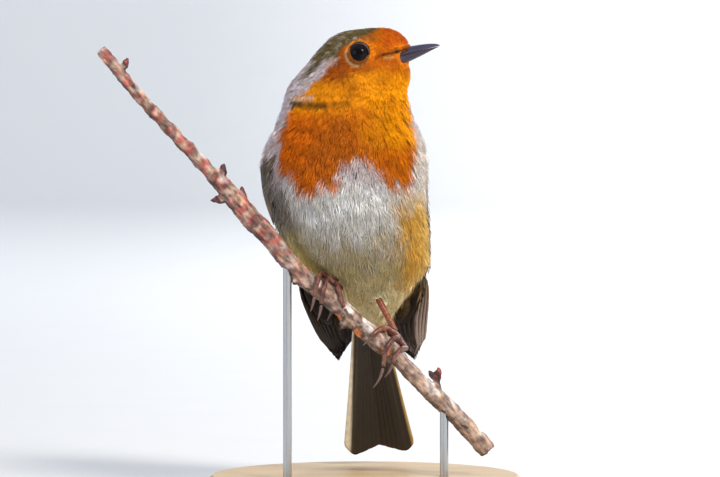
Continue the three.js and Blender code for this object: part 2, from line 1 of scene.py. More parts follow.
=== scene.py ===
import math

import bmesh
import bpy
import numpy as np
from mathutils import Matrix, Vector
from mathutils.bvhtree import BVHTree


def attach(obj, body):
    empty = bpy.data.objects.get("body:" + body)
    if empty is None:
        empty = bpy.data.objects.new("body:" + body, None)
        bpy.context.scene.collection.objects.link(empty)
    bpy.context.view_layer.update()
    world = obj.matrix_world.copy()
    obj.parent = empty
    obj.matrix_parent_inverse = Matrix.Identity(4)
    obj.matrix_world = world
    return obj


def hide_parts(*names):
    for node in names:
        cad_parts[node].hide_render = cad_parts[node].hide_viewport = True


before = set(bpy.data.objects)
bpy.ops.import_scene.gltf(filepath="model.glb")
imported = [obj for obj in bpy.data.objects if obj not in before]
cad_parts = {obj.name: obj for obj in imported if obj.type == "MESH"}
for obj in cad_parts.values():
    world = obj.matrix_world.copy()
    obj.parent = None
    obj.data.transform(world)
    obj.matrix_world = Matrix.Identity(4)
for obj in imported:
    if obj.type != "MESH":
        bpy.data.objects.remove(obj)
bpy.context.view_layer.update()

# %% [markdown]
# # A European robin on its twig
# This is a life-size museum model of a small songbird. Its solid parts come from CAD as a fixed
# frame, and the cells below dress them: one skin for the flesh, a coat of feather tufts over it,
# vanes for the wings and the tail, and finer surfaces for the bill, the eyes, the feet and the twig.
# The frame is loaded first, because every piece is placed by it.

MM = 0.001

# %% [markdown]
# ## Colours and nodes
# Paint charts give colours as sRGB hex values, but a shader works in linear light, so one function
# turns one into the other. One more small function adds a node, sets its own settings and fills its
# inputs, and every material and the Geometry Nodes tree below are built with it. The materials
# share a few steps, such as noise or a blend of two colours, so those are named once.

# %% Colour and node helpers
def linear(code):
    """An sRGB hex value as linear red, green, blue and alpha."""
    parts = [int(code[i : i + 2], 16) / 255 for i in (1, 3, 5)]
    return [c / 12.92 if c < 0.04045 else ((c + 0.055) / 1.055) ** 2.4 for c in parts] + [1.0]


def shown(sockets, key):
    """A node's socket by its place or by its name, counting only the ones in use."""
    if isinstance(key, int):
        return sockets[key]
    return next(s for s in sockets if s.enabled and s.name == key)


def add(tree, kind, inputs=None, **settings):
    """A new node with its settings. Each input gets a value, a socket or a node's first output."""
    node = tree.nodes.new(kind)
    for name, value in settings.items():
        setattr(node, name, value)
    for key, value in (inputs or {}).items():
        socket = shown(node.inputs, key)
        if isinstance(value, bpy.types.Node):
            value = next(s for s in value.outputs if s.enabled)
        if isinstance(value, bpy.types.NodeSocket):
            tree.links.new(value, socket)
        else:
            socket.default_value = value
    return node


# %% Steps that the materials share
class Finish:
    """A material in the making: each method adds a node, and surface() closes the tree."""

    def __init__(self, name):
        self.material = bpy.data.materials.new(name)
        self.material.use_nodes = True
        self.tree = self.material.node_tree
        self.tree.nodes.clear()

    def place(self):
        return add(self.tree, "ShaderNodeTexCoord").outputs["Object"]

    def stored(self, name, output="Fac"):
        """A value that the mesh's points carry under a name."""
        return add(self.tree, "ShaderNodeAttribute", attribute_name=name).outputs[output]

    def split(self, vector):
        return add(self.tree, "ShaderNodeSeparateXYZ", {0: vector}).outputs

    def noise(self, place, scale=1.0, detail=2.0, drawn=None):
        """Soft noise; drawn scales it along each axis, so unequal numbers stretch it."""
        if drawn:
            place = add(self.tree, "ShaderNodeMapping", {"Vector": place, "Scale": drawn})
        given = {"Vector": place, "Scale": scale, "Detail": detail}
        return add(self.tree, "ShaderNodeTexNoise", given).outputs["Fac"]

    def cells(self, place, scale):
        """The distance from the middle of the nearest cell."""
        return add(self.tree, "ShaderNodeTexVoronoi", {"Vector": place, "Scale": scale}).outputs["Distance"]

    def maths(self, operation, *values):
        return add(self.tree, "ShaderNodeMath", dict(enumerate(values)), operation=operation)

    def times(self, a, b):
        return self.maths("MULTIPLY", a, b)

    def remap(self, value, low, high, to_low, to_high, **settings):
        """to_low where value is low or less, to_high where it is high or more."""
        given = {0: value, 1: low, 2: high, 3: to_low, 4: to_high}
        return add(self.tree, "ShaderNodeMapRange", given, **settings)

    def mix(self, share, one, other):
        """A blend of two colours, each a hex tone or a node's output."""
        ends = [linear(tone) if isinstance(tone, str) else tone for tone in (one, other)]
        given = {"Factor": share, 6: ends[0], 7: ends[1]}
        return add(self.tree, "ShaderNodeMix", given, data_type="RGBA").outputs[2]

    def shaded(self, colour, shade):
        return add(self.tree, "ShaderNodeVectorMath", {0: colour, "Scale": shade}, operation="SCALE")

    def relief(self, height, strength, distance, **settings):
        given = {"Height": height, "Strength": strength, "Distance": distance}
        return add(self.tree, "ShaderNodeBump", given, **settings)

    def surface(self, sockets):
        """The finished material, from the values of the Principled shader's sockets."""
        shader = add(self.tree, "ShaderNodeBsdfPrincipled", sockets)
        add(self.tree, "ShaderNodeOutputMaterial", {"Surface": shader})
        return self.material


# %% [markdown]
# ## Camera, floor and light
# The bird is seen from almost level with its breast through a long lens, so that it looks nearly
# free of perspective. It stands in a studio: a pale floor that curves up into a wall, a soft light
# from the upper right, a weaker one from the left, one from behind, one on the wall, and pale light
# from all around. The floor is stage, and isn't part of the model.

# %% Camera
TARGET = Vector((-1.4, -5.0, 71.7)) * MM
DISTANCE = 1.2
LOOK_DOWN = math.radians(2.0)
WIDTH_AT_TARGET = 201.6 * MM
SENSOR = 36  # mm

lens = bpy.data.cameras.new("long_lens")
lens.sensor_width = SENSOR
lens.lens = SENSOR * DISTANCE / WIDTH_AT_TARGET
lens.clip_start, lens.clip_end = 0.05, 50
camera = bpy.data.objects.new("camera", lens)
bpy.context.scene.collection.objects.link(camera)
to_camera = Vector((0, -math.cos(LOOK_DOWN), math.sin(LOOK_DOWN)))
camera.location = TARGET + to_camera * DISTANCE
camera.rotation_mode = "QUATERNION"
camera.rotation_quaternion = (-to_camera).to_track_quat("-Z", "Y")
bpy.context.scene.camera = camera
bpy.context.scene.view_settings.view_transform = "Standard"
print("lens", round(lens.lens, 1), "mm")


# %% Floor that curves up into a wall
def new_object(name, points, faces, unit=MM):
    """A smooth mesh object from points in millimetres and faces, linked to the scene."""
    mesh = bpy.data.meshes.new(name)
    mesh.from_pydata((np.asarray(points, float) * unit).tolist(), [], faces)
    mesh.shade_smooth()
    mesh.update()
    made = bpy.data.objects.new(name, mesh)
    bpy.context.scene.collection.objects.link(made)
    return made


def paper_wall():
    """Pale studio paper, 8 m wide: level floor, a bend of 1 m radius, and a wall."""
    reach, radius = 4000, 1000
    bend = [math.radians(a) for a in np.linspace(0, 90, 19)]
    curve = [(reach - radius + radius * math.sin(a), radius - radius * math.cos(a)) for a in bend]
    profile = [(-reach, 0), *curve, (reach, reach)]
    points = [(x, y, z) for y, z in profile for x in (-reach, reach)]
    faces = [(2 * i, 2 * i + 1, 2 * i + 3, 2 * i + 2) for i in range(len(profile) - 1)]
    return new_object("studio_paper", points, faces)


def paper_finish():
    """Matt pale background paper, with painted shade that greys it to the left as if lit from the right,
    and a mottle about 40 mm across.
    """
    paper = Finish("background_paper")
    place = paper.place()
    # painted shade: the paper greys from right to left along X, and the noise moves that edge a little as a
    # mottle
    drift = paper.maths("MULTIPLY_ADD", paper.noise(place, 25.0), 0.04, paper.split(place)["X"])
    share = paper.remap(drift, -0.2, 0.25, 0.0, 1.0, interpolation_type="SMOOTHSTEP")
    tone = paper.mix(share, "#d2d5da", "#f3f4f6")
    return paper.surface({"Base Color": tone, "Roughness": 0.9, "Specular IOR Level": 0.1})


paper = paper_wall()
paper.data.materials.append(paper_finish())
print(paper.name, len(paper.data.polygons), "faces")


# %% Lights
def soft_light(name, place, size, power, tone):
    """A square area light at a place in metres, turned to the bird, and unseen by the camera."""
    lamp = bpy.data.lights.new(name, "AREA")
    lamp.size = size
    lamp.energy = power
    lamp.color = linear(tone)[:3]
    made = bpy.data.objects.new(name, lamp)
    made.location = place
    made.rotation_mode = "QUATERNION"
    made.rotation_quaternion = (Vector(place) - TARGET).to_track_quat("Z", "Y")
    made.visible_camera = False
    bpy.context.scene.collection.objects.link(made)
    return made


soft_light("key", (1.0, -1.25, 1.35), 0.5, 33, "#fff8ef")
soft_light("fill", (-1.5, -1.2, 0.5), 1.2, 8, "#f4f6ff")
soft_light("rim", (0.9, 1.3, 1.2), 0.8, 12, "#ffffff")
wash = soft_light("wall_wash", (1.6, 1.4, 1.9), 1.6, 62, "#ffffff")
wash.rotation_quaternion = (Vector(wash.location) - Vector((0.4, 4.0, 0.6))).to_track_quat("Z", "Y")
sky = bpy.data.worlds.new("studio_air")
sky.use_nodes = True
sky.node_tree.nodes["Background"].inputs["Color"].default_value = linear("#eef2f6")
sky.node_tree.nodes["Background"].inputs["Strength"].default_value = 0.62
bpy.context.scene.world = sky
print("lights:", [light.name for light in bpy.data.lights])

# %% [markdown]
# ## The bird's measures
# Colours, feather lengths and the lie of the coat all depend on where a place is on the bird, so
# the few measures that the CAD used are repeated here: the way the head points, the trunk's level
# slices, and the sheath that the folded wings lie on. A smooth curve through a short table of rows
# gives every value between them.

# %% Head directions and smooth tables
HEAD_MIDDLE = np.array([-0.4, -6.0, 124.0])
TURN, PITCH = math.radians(78), math.radians(8)
AHEAD = np.array(
    [math.sin(TURN) * math.cos(PITCH), -math.cos(TURN) * math.cos(PITCH), math.sin(PITCH)]
)
TO_LEFT = np.array([math.cos(TURN), math.sin(TURN), 0.0])
UPWARD = np.cross(AHEAD, TO_LEFT)
EYE_AHEAD, EYE_ASIDE, EYE_UP = 0.2, 6.6, -0.75  # middle of each eye, in mm from the head's middle
print("the head looks along", AHEAD.round(2))


def head_place(p):
    """How far points lie ahead of the eyes' middle, to the bird's left, and up."""
    d = p - HEAD_MIDDLE
    return d @ AHEAD, d @ TO_LEFT, d @ UPWARD


def head_point(ahead, left, up):
    return HEAD_MIDDLE + ahead * AHEAD + left * TO_LEFT + up * UPWARD


def smooth_rows(rows):
    """A smooth curve through rows of numbers; the first column is the place along it."""
    rows = np.array(sorted(rows), float)
    at = rows[:, 0]
    ends = np.r_[0, np.arange(len(at) - 1)], np.r_[np.arange(1, len(at)), len(at) - 1]
    slope = (rows[ends[1]] - rows[ends[0]]) / (at[ends[1]] - at[ends[0]])[:, None]

    def value(place):
        place = np.clip(np.atleast_1d(np.asarray(place, float)), at[0], at[-1])
        i = np.clip(np.searchsorted(at, place, side="right") - 1, 0, len(at) - 2)
        h = (at[i + 1] - at[i])[:, None]
        t = (place - at[i])[:, None] / h
        return (
            (2 * t**3 - 3 * t**2 + 1) * rows[i]
            + (t**3 - 2 * t**2 + t) * h * slope[i]
            + (3 * t**2 - 2 * t**3) * rows[i + 1]
            + (t**3 - t**2) * h * slope[i + 1]
        )[:, 1:]

    return value


# Height, middle x, half width, foremost and rearmost y of the plumage, in millimetres.
TRUNK = [
    (42.5, 2.0, 1.6, 11.5, 16.5), (46, 2.2, 5.0, 6.5, 18.6), (51, 2.2, 10.0, 0.5, 20),
    (57, 1.6, 15.4, -7.5, 20.3), (65, -0.2, 18.8, -18, 20.3), (74.5, -2.7, 20.7, -25, 19.5),
    (82.5, -4.5, 21.8, -27, 18.5), (90, -5.2, 22.3, -27, 17), (96, -5.4, 22.0, -26, 15.3),
    (102, -5.2, 20.8, -23.5, 13.2), (107.5, -5.3, 19.1, -20.5, 11.5), (112, -5.5, 17.6, -18, 10),
    (116.5, -4.4, 16.3, -15.8, 8), (121, -2.0, 11.4, -13, 4.5),
]  # fmt: skip
SHEATH = [
    (34, 4.6, 16.2, -9, 27), (41, 3.6, 16.9, -9, 26.5),
    (47, 2.3, 17.9, -9.5, 25), (55, 0.8, 19.0, -11.5, 23),
] + [row for row in TRUNK if row[0] >= 65]  # fmt: skip
trunk_row = smooth_rows(TRUNK)
sheath_row = smooth_rows(SHEATH)


def ease(x, low, high):
    """0 below low, 1 above high, and a soft step between."""
    t = np.clip((x - low) / (high - low), 0, 1)
    return t * t * (3 - 2 * t)


def ripple(p, size, seed):
    """Soft random relief between about -1 and 1, with bumps about as far apart as size."""
    rng = np.random.default_rng(seed)
    total = np.zeros(len(p))
    waves, full_turn, usual_height = 7, 6.28, 2.6
    for _ in range(waves):
        way = rng.normal(size=3)
        way *= rng.uniform(0.7, 1.4) * 2 * math.pi / size / np.linalg.norm(way)
        total += np.sin(p @ way + rng.uniform(0, full_turn))
    return total / usual_height


def around_trunk(p):
    """Degrees round the trunk from straight ahead, below zero on the bird's right side."""
    x, half, front, rear = trunk_row(p[:, 2]).T
    across = (p[:, 0] - x) / half
    along = (p[:, 1] - (front + rear) / 2) / ((rear - front) / 2)
    return np.degrees(np.arctan2(across, -along))


# %% [markdown]
# ## Markings
# A robin's face, throat and breast are orange, with a band of blue-grey between the orange and the
# olive-brown of the crown, back and sides; the belly is white, and turns grey and then buff towards
# the legs and flanks. A painter would mask these areas off. Here each area is a soft mask worked
# out from where a point lies on the head or round the trunk, and a ripple makes its edge ragged,
# as feather tips do. Skin and coat read the same result, so they carry the same markings.

# %% Areas of colour
FACE_EDGE = np.array(  # height above the eyes, and how far ahead the orange starts there
    [(-8.6, -15.6), (-5, -10.6), (-2, -5.7), (1, -5), (2.4, -3), (3.5, -0.5), (4.5, 2.5), (6, 5)]
)
BIB_FOOT = np.array(  # x across the breast, and the height where the orange ends
    [(-23.5, 91), (-19.6, 86.5), (-16, 83.6), (-13.6, 84.6), (-12.4, 86.6), (-8.2, 88.6), (-7, 93),
     (-2.5, 93.6), (2, 93.2), (4.4, 91.4), (7, 88), (9.5, 85.6), (12.5, 86.4), (15.6, 92)]
)  # fmt: skip
BIB_RIGHT = np.array([(84, -60), (106, -62), (110, -59), (113.3, -40), (116, -30)])
BIB_LEFT = np.array([(84, 56), (96, 66), (105, 70), (110, 92), (113, 115), (116, 130)])


def orange_area(p, widen=0.0):
    """1 where the plumage is orange, moved outwards by widen in millimetres."""
    f, left, u = head_place(p)
    ragged = 0.55 * ripple(p, 5.0, 1) + 0.4 * ripple(p, 2.0, 2)
    far_side = 7 * ease(left, 0, 6) * ease(-u, 3, 9)
    face = f - np.interp(u, *FACE_EDGE.T) - far_side + ragged + widen
    head = ease(face, -0.5, 0.5) * ease(p[:, 2], 110, 112.5)
    turn = around_trunk(p)
    degree = 57.3 / 20  # to a millimetre round a trunk with a radius of 20 mm
    inside = np.minimum(
        (turn - np.interp(p[:, 2], *BIB_RIGHT.T)) / degree,
        (np.interp(p[:, 2], *BIB_LEFT.T) - turn) / degree,
    )
    foot = p[:, 2] - np.interp(p[:, 0], *BIB_FOOT.T) + 1.0 * ripple(p * [1, 1, 0.4], 3.6, 3)
    bib = ease(np.minimum(inside + ragged, foot) + widen, -0.6, 0.6)
    return np.maximum(head, bib * (1 - ease(p[:, 2], 114, 117)))


# %% Layers of colour
def paint(base, tone, amount):
    """base with a hex tone laid over it by an amount from 0 to 1."""
    return base + (np.array(linear(tone)[:3]) - base) * amount[..., None]


def painted(base, layers):
    """base with layers laid over it in turn, each a hex tone and its amounts. None is bare ground."""
    for tone, amount in layers:
        base = paint(base, tone, np.ones(len(base)) if amount is None else amount)
    return base


def plumage_tone(p, f, u, turn, z, soft):
    """The olive, grey, white and buff of crown, back and belly, with painted shade on the front of the
    bird's right side.
    """
    head = ease(z, 112, 117)
    front = ease(100 - abs(turn + 3) + 6 * soft, 0, 14) * (1 - ease(z, 106, 112))
    side = np.where(turn < 0, ease(-turn, 40, 60), ease(turn, 42, 77))
    white = front * (1 - np.where(turn < 0, 0.85, 0.6) * side) * ease(z + 3 * soft, 60, 84)
    white = np.maximum(white, 0.9 * front * ease(turn, 30, 45) * ease(z + 2 * soft, 76, 84))
    streak = np.c_[p[:, 0], p[:, 1], 0.28 * z]
    low = front * (1 - ease(z + 3 * soft, 57, 74))
    ochre = front * ease(turn + 6 * soft, 26, 50) * (1 - ease(z + 2.5 * soft, 79, 88))
    yellow = front * ease(-turn + 4 * soft, 42, 66) * (1 - ease(z, 66, 76))
    vent = (1 - ease(z + 2 * soft, 52, 62)) * ease(-p[:, 1] + 14, 0, 6)
    low_edge = -0.6 - 0.3 * soft  # the grey band stays below the eye's middle
    below_eye = 1 - ease(u, low_edge - 0.5, low_edge + 0.7)
    band = orange_area(p, 4.8 + 5.5 * (1 - ease(z, 113, 118))) * below_eye * ease(z, 84, 92)
    band = band * (1 - ease(-turn, 104, 128))
    grey = np.maximum(band, 0.9 * ease(-turn, 56, 66) * ease(z, 90, 96) * (1 - ease(-turn, 108, 130)))
    grey = np.maximum(grey, 0.7 * ease(turn, 62, 72) * ease(z, 86, 92) * (1 - ease(turn, 112, 130)))
    pale_side = ease(turn, 58, 70) * ease(z + 2 * soft, 80, 88) * (1 - ease(z, 98, 106))
    return painted(np.zeros((len(p), 3)), [
        ("#76603f", None),  # back
        ("#75643c", head),  # crown, and its mottle
        ("#8b8273", 0.7 * head * ease(ripple(p, 4.5, 9), 0.0, 1.0) * ease(-f, 2, 6)),
        ("#8a7a33", 0.6 * head * ease(ripple(p, 5.5, 10), 0.2, 1.0) * ease(-f, 8, 11)),
        ("#332c1e", 0.7 * head * ease(ripple(p, 2.3, 15), 0.4, 1.1)),
        ("#d8ccb8", 0.6 * head * ease(-ripple(p, 2.6, 16), 0.5, 1.2) * ease(u, -1, 2)),
        ("#b5a890", front),
        # painted shade: the front of the bird's right side darker, away from the key light
        ("#746a60", front * ease(-turn, 42, 58) * ease(z, 70, 80)),
        ("#f4f3f1", white),  # belly, and its streaks
        ("#b4ac84", 0.4 * white * ease(ripple(streak, 2.6, 18), 0.3, 1.2)),
        ("#c4cbe6", 0.4 * white * ease(-ripple(streak, 2.2, 19), 0.5, 1.3)),
        ("#dcc888", 0.85 * low),  # buff towards the legs
        ("#8a7448", 0.45 * low * ease(-ripple(streak, 2.4, 20), 0.4, 1.2)),
        ("#e6b040", 0.97 * ochre),  # left flank
        ("#f0d28a", 0.55 * ochre * ease(turn + 5 * soft, 52, 76)),
        ("#eedd8a", 0.9 * yellow),  # right flank
        ("#fff2c4", 0.95 * vent),
        ("#d6c6c4", grey * below_eye),  # grey band
        ("#ece2f2", 0.7 * (grey * ease(ripple(p, 3.2, 12), 0.3, 1.0))),
        ("#c2c4ea", 0.6 * grey * ease(-ripple(p, 2.8, 17), 0.5, 1.2)),
        ("#d8b298", 0.6 * (grey * ease(z, 114, 118) * ease(f, -11, -7))),
        ("#e6dccf", 0.8 * pale_side * (1 - ease(turn, 104, 118))),
    ])  # fmt: skip


def orange_tone(p, f, u, turn, z, soft):
    """The orange of bib, throat and face, brown over the eye, with painted shade on the bird's right and at
    the foot, and painted light on its left and on the throat.
    """
    middle = 1 - ease(np.hypot(p[:, 0] + 9, p[:, 2] - 99), 2, 12)
    chin = ease(f, 6, 9) * ease(u, -9.5, -7) * (1 - ease(u, -4, -2.5))
    mask = ease(u, -7.2, -5.8) * (1 - ease(u, -2.4, -1.2)) * (1 - ease(abs(f + 2.5), 4, 7))
    brow = ease(u, 1.6, 3.2) * (1 - ease(f, 3.0, 6.0))
    return painted(np.zeros((len(p), 3)), [
        ("#f08c08", None),
        # painted shade: deeper orange on the bird's right side, away from the key light, and at the foot of
        # the breast
        ("#ec7606", 0.85 * ease(-turn, 4, 44) * (1 - ease(z, 106, 111))),
        ("#a85006", 0.55 * middle * ease(-p[:, 1], 8, 14)),
        ("#a85206", 0.6 * ease(-turn, 30, 56) * (1 - ease(z + 2 * soft, 90, 98))),
        ("#c46208", 0.45 * (1 - ease(z + 2 * soft, 92, 104))),
        # painted light: paler orange on the bird's left side and on the throat, where the key light falls
        ("#ffb005", 0.9 * ease(turn + 4 * soft, 6, 30) * ease(z, 95, 101)),
        ("#ffab06", 0.9 * ease(z, 104, 110) * (1 - ease(u, -6.5, -2.5))),  # throat, paler with painted light
        ("#e07806", 0.9 * ease(u, -8, -4.5) * ease(z, 114, 117)),
        ("#b05606", 0.75 * ease(-f, 1.0, 4.5) * ease(z, 113, 117)),  # behind the eye
        ("#cc6a06", 0.7 * chin),
        ("#a04c06", 0.55 * mask * ease(z, 113, 116)),
        ("#b06a24", 0.85 * brow),
        ("#6c3c16", 0.6 * brow * ease(ripple(p, 2.6, 13), 0.1, 1.0)),
        ("#d8a050", 0.5 * brow * ease(ripple(p, 2.2, 14), 0.5, 1.2)),
        ("#de6c08", 0.9 * ease(u, -1.0, 1.5) * ease(f, 5.0, 8.0)),  # forehead
        ("#cc5206", 0.5 * ease(u, 1.0, 3.5) * ease(f, 10.0, 12.5)),
        ("#8a3a08", 0.45 * ease(u, 0.0, 1.5) * ease(f, 3, 6) * ease(ripple(p, 1.7, 21), 0.6, 1.3)),
        ("#b0560a", 0.35 * ease(ripple(p, 6.0, 8), 0.2, 1.0)),
    ])  # fmt: skip


def markings(p):
    """The plumage's colour at points, in linear light."""
    f, _, u = head_place(p)
    where = (p, f, u, around_trunk(p), p[:, 2], ripple(p, 7.0, 4))
    tone = plumage_tone(*where)
    tone += (orange_tone(*where) - tone) * orange_area(p)[:, None]
    return np.clip(tone * (1 + 0.05 * ripple(p, 2.0, 5))[:, None], 0, 1)


# %% Marks of the face and the neck
def near_line(flat, ends, radius, soft):
    """1 within a radius of a straight line between two points of a plane, with a soft edge."""
    a, b = np.array(ends, float)
    along = np.clip((flat - a) @ (b - a) / np.dot(b - a, b - a), 0, 1)
    away = np.linalg.norm(flat - a - along[:, None] * (b - a), axis=1)
    return 1 - ease(away, radius - soft, radius + soft)


# Lines of the face, each as ends (ahead of and above the head's middle), radius, tone and strength.
FACE_LINES = [
    ([(6.8, -1.9), (10.4, -1.6)], 0.3, "#3a1c0c", 0.85),  # gape
    ([(10.4, -1.6), (14.2, -1.3)], 0.5, "#2e160c", 0.9),
    ([(4.8, -2.7), (6.8, -1.9)], 0.35, "#7a3408", 0.55),
    ([(10.2, -0.7), (13.4, -0.8)], 0.5, "#6e3410", 0.5),  # lore
    ([(7.2, -3.0), (9.2, -3.0)], 0.35, "#f4c070", 0.7),  # pale line under the gape
]
# Lines of the neck, each as ends (across and height), radius, softness, tone and strength.
NECK_LINES = [
    ([(-20.5, 110.4), (-14.8, 111.0)], 0.6, 0.4, "#ecd0b8", 0.8),  # pale edge over the parting
    ([(-20.5, 109.4), (-11.5, 108.9)], 0.75, 0.45, "#3a2014", 0.85),  # painted shadow of the parting in the neck
    ([(-11.5, 108.9), (-5.0, 109.4)], 0.8, 0.6, "#8a3c0c", 0.5),  # where the painted shadow fades
]


def fine_marks(p, tone):
    """Marks finer than a feather: the thin eye ring, the gape and lore, and a painted shadow where the
    feathers of the neck part.
    """
    f, left, u = head_place(p)
    on_face = ease(f, 3.5, 4.5) * ease(p[:, 2], 114, 116)
    for ends, radius, hue, strength in FACE_LINES:
        tone = paint(tone, hue, strength * on_face * near_line(np.c_[f, u], ends, radius, 0.3))
    away = np.hypot(f - EYE_AHEAD, u - EYE_UP)
    beside = ease(abs(left), 3.0, 4.0)
    behind = ease(-f - 0.5 * u, 1.4, 2.6)
    rim = ease(away, 2.9, 3.1) * (1 - ease(away, 3.4, 3.9))
    below = ease(-u + EYE_UP, 0.8, 2.4) * (1 - behind)
    tone = painted(tone, [
        ("#4a2a14", 0.75 * beside * (1 - ease(away, 3.1, 3.6))),
        ("#dcb884", 0.7 * beside * rim * behind),
        ("#8e6a34", 0.5 * beside * rim * below),
    ])  # fmt: skip
    facing = ease(-p[:, 1], 6, 9)
    for ends, radius, softness, hue, strength in NECK_LINES:
        tone = paint(tone, hue, strength * facing * near_line(p[:, [0, 2]], ends, radius, softness))
    return tone


print("markings ready")

# %% [markdown]
# ## The skin
# The model is plumage over a body, and one skin without a seam stands for all the flesh: head,
# neck, trunk and thighs. It could be sculpted, but it has to agree with the CAD solids, which give
# the outline out to the feathers' tips. So the solids are copied, swollen until the cuts between
# them close, turned into one surface by a voxel remesh, smoothed, and then sunk by the depth of
# the coat, which is half a millimetre on the face and three on the belly. A second surface, made
# in the same way with the wings in it, is the envelope that the feathers are laid on.

# %% One surface from several solids
def merged_copy(nodes, name):
    """CAD nodes as one mesh object with its loose triangles joined at their corners."""
    shape = bmesh.new()
    for node in nodes:
        shape.from_mesh(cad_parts[node].data)
    bmesh.ops.remove_doubles(shape, verts=shape.verts, dist=1e-6)
    mesh = bpy.data.meshes.new(name)
    shape.to_mesh(mesh)
    shape.free()
    made = bpy.data.objects.new(name, mesh)
    bpy.context.scene.collection.objects.link(made)
    return made


def settled(made):
    """The object with its modifiers turned into plain mesh."""
    bpy.context.view_layer.update()
    graph = bpy.context.evaluated_depsgraph_get()
    mesh = bpy.data.meshes.new_from_object(
        made.evaluated_get(graph), preserve_all_data_layers=True, depsgraph=graph
    )
    made.modifiers.clear()
    made.data = mesh
    return made


def modifier(made, kind, **settings):
    step = made.modifiers.new(kind.lower(), kind)
    for name, value in settings.items():
        setattr(step, name, value)
    return made


def fused(nodes, name, voxel, close=0.0, smoothing=10):
    """CAD nodes as one even, closed surface. Gaps narrower than twice close are filled."""
    made = merged_copy(nodes, name)
    if close:
        modifier(made, "DISPLACE", strength=0.25 * MM, mid_level=0.0)
        modifier(made, "REMESH", mode="VOXEL", voxel_size=voxel * MM)
        modifier(made, "DISPLACE", strength=(close - 0.25) * MM, mid_level=0.0)
    modifier(made, "REMESH", mode="VOXEL", voxel_size=voxel * MM, use_smooth_shade=True)
    if close:
        modifier(made, "DISPLACE", strength=-close * MM, mid_level=0.0)
    modifier(made, "SMOOTH", factor=0.5, iterations=smoothing)
    return settled(made)


def rows_of(items, key, size=3):
    """One stored value of each item, as rows of numbers."""
    flat = np.zeros(len(items) * size)
    items.foreach_get(key, flat)
    return flat.reshape(-1, size)


def points_of(made):
    return rows_of(made.data.vertices, "co") / MM


def move(made, points):
    made.data.vertices.foreach_set("co", (points * MM).ravel())
    made.data.update()


FLESH = ["head", "neck", "trunk", "thigh_right", "thigh_left"]
WINGS = ["wing_right", "wing_left"]
skin = fused(FLESH, "skin", voxel=0.6, close=1.6, smoothing=12)
envelope = fused(FLESH + WINGS, "envelope", voxel=0.65, close=1.6, smoothing=8)
print("skin", len(skin.data.polygons), "faces; envelope", len(envelope.data.polygons))

# %% [markdown]
# ## How deep, how long and which way
# A museum preparator grooms a coat region by region. Four quantities say the same thing to the
# computer at every point of the skin: the coat's depth, the feathers' length, the direction they
# lie in, and the region. Feathers lie away from the bill, round the eye, over the nape and then
# down towards the tail, so the lie is a blend of "away from the bill" and "towards the tail".

# %% Depth, length, lie and regions
BILL_BASE = head_point(8.5, 0, -2.5)
print("the bill starts at", BILL_BASE.round(1), "mm")
TAIL_END = np.array([4.0, 26.0, 20.0])
SIDES = (("right", -1), ("left", 1))
EYES = {side: head_point(EYE_AHEAD, EYE_ASIDE * sign, EYE_UP) for side, sign in SIDES}


def unit(v):
    return v / np.maximum(np.linalg.norm(v, axis=1, keepdims=True), 1e-9)


def to_eyes(p):
    """Distances of points from the middle of the nearer eye."""
    return np.min([np.linalg.norm(p - at, axis=1) for at in EYES.values()], axis=0)


def coat_measures(p):
    """Depth and length of the feathers at points, in millimetres."""
    f, _, u = head_place(p)
    z = p[:, 2]
    rear = ease(-np.cos(np.radians(around_trunk(p))), -0.5, 0.5)  # 0 at the breast, 1 at the back
    head = ease(z, 108, 117)
    face = ease(f + 0.4 * u, -3, 5) * head
    depth_body = np.interp(z, [45, 60, 75, 95, 108], [2.2, 2.8, 3.0, 2.6, 1.9])
    depth_body = depth_body + (2.0 - depth_body) * rear
    depth = depth_body + (1.0 - 0.5 * face - depth_body) * head
    long_body = np.interp(z, [45, 60, 75, 95, 108], [11, 10.5, 10.5, 8.0, 5.5])
    long_body = long_body + (np.interp(z, [60, 100, 110], [10, 8, 5]) - long_body) * rear
    long = long_body + (3.6 - 1.5 * face - long_body) * head
    close = 1 - ease(to_eyes(p), 3.9, 7.5)
    near_bill = 1 - ease(np.linalg.norm(p - BILL_BASE, axis=1), 2.5, 6.0)
    short = np.maximum(close * 0.55, near_bill * 0.45)
    return depth * (1 - 0.6 * close), long * (1 - short)


def lie_of_coat(p, n):
    """The direction that the feathers lie in, along the surface."""
    from_bill = p - BILL_BASE
    share = np.exp(-np.linalg.norm(from_bill, axis=1) / 26)[:, None]
    lie = share * unit(from_bill) + (1 - share) * unit(TAIL_END - p)
    for at in EYES.values():
        away = p - at
        near = np.exp(-((np.linalg.norm(away, axis=1) / 5.2) ** 2))[:, None]
        lie = lie + 1.1 * near * unit(away)
    curl = np.cross(n, lie) * (0.16 * ripple(p, 12.0, 6) + 0.08 * ripple(p, 4.0, 7))[:, None]
    lie = lie + curl
    return unit(lie - n * np.sum(lie * n, axis=1)[:, None])


def give(made, name, values, kind="FLOAT"):
    """Stores one value for each point of a mesh under a name."""
    layer = made.data.attributes.new(name, kind, "POINT")
    key = {"FLOAT": "value", "FLOAT_VECTOR": "vector", "FLOAT_COLOR": "color"}[kind]
    layer.data.foreach_set(key, np.ascontiguousarray(values, dtype=np.float32).ravel())


def regions(p, bare):
    """How much of each region a point belongs to; bare places carry no feathers."""
    f, _, u = head_place(p)
    z = p[:, 2]
    turn = abs(around_trunk(p) + 2)
    head = ease(z, 111, 113)
    face = head * ease(f + 0.5 * u, -5, -3)
    rear = ease(turn, 92, 96)
    trunk = (1 - head) * (1 - rear)
    made = {
        "face": face,
        "crown": head - face,
        "breast": trunk * ease(z, 94, 95),
        "chest": trunk * ease(z, 82, 83) * (1 - ease(z, 94, 95)),
        "belly": trunk * ease(z, 62, 64) * (1 - ease(z, 82, 83)),
        "back": (1 - head) * rear * ease(z, 62, 64),
        "vent": (1 - head) * (1 - ease(z, 62, 64)),
    }
    return {name: share * (1 - bare) for name, share in made.items()}


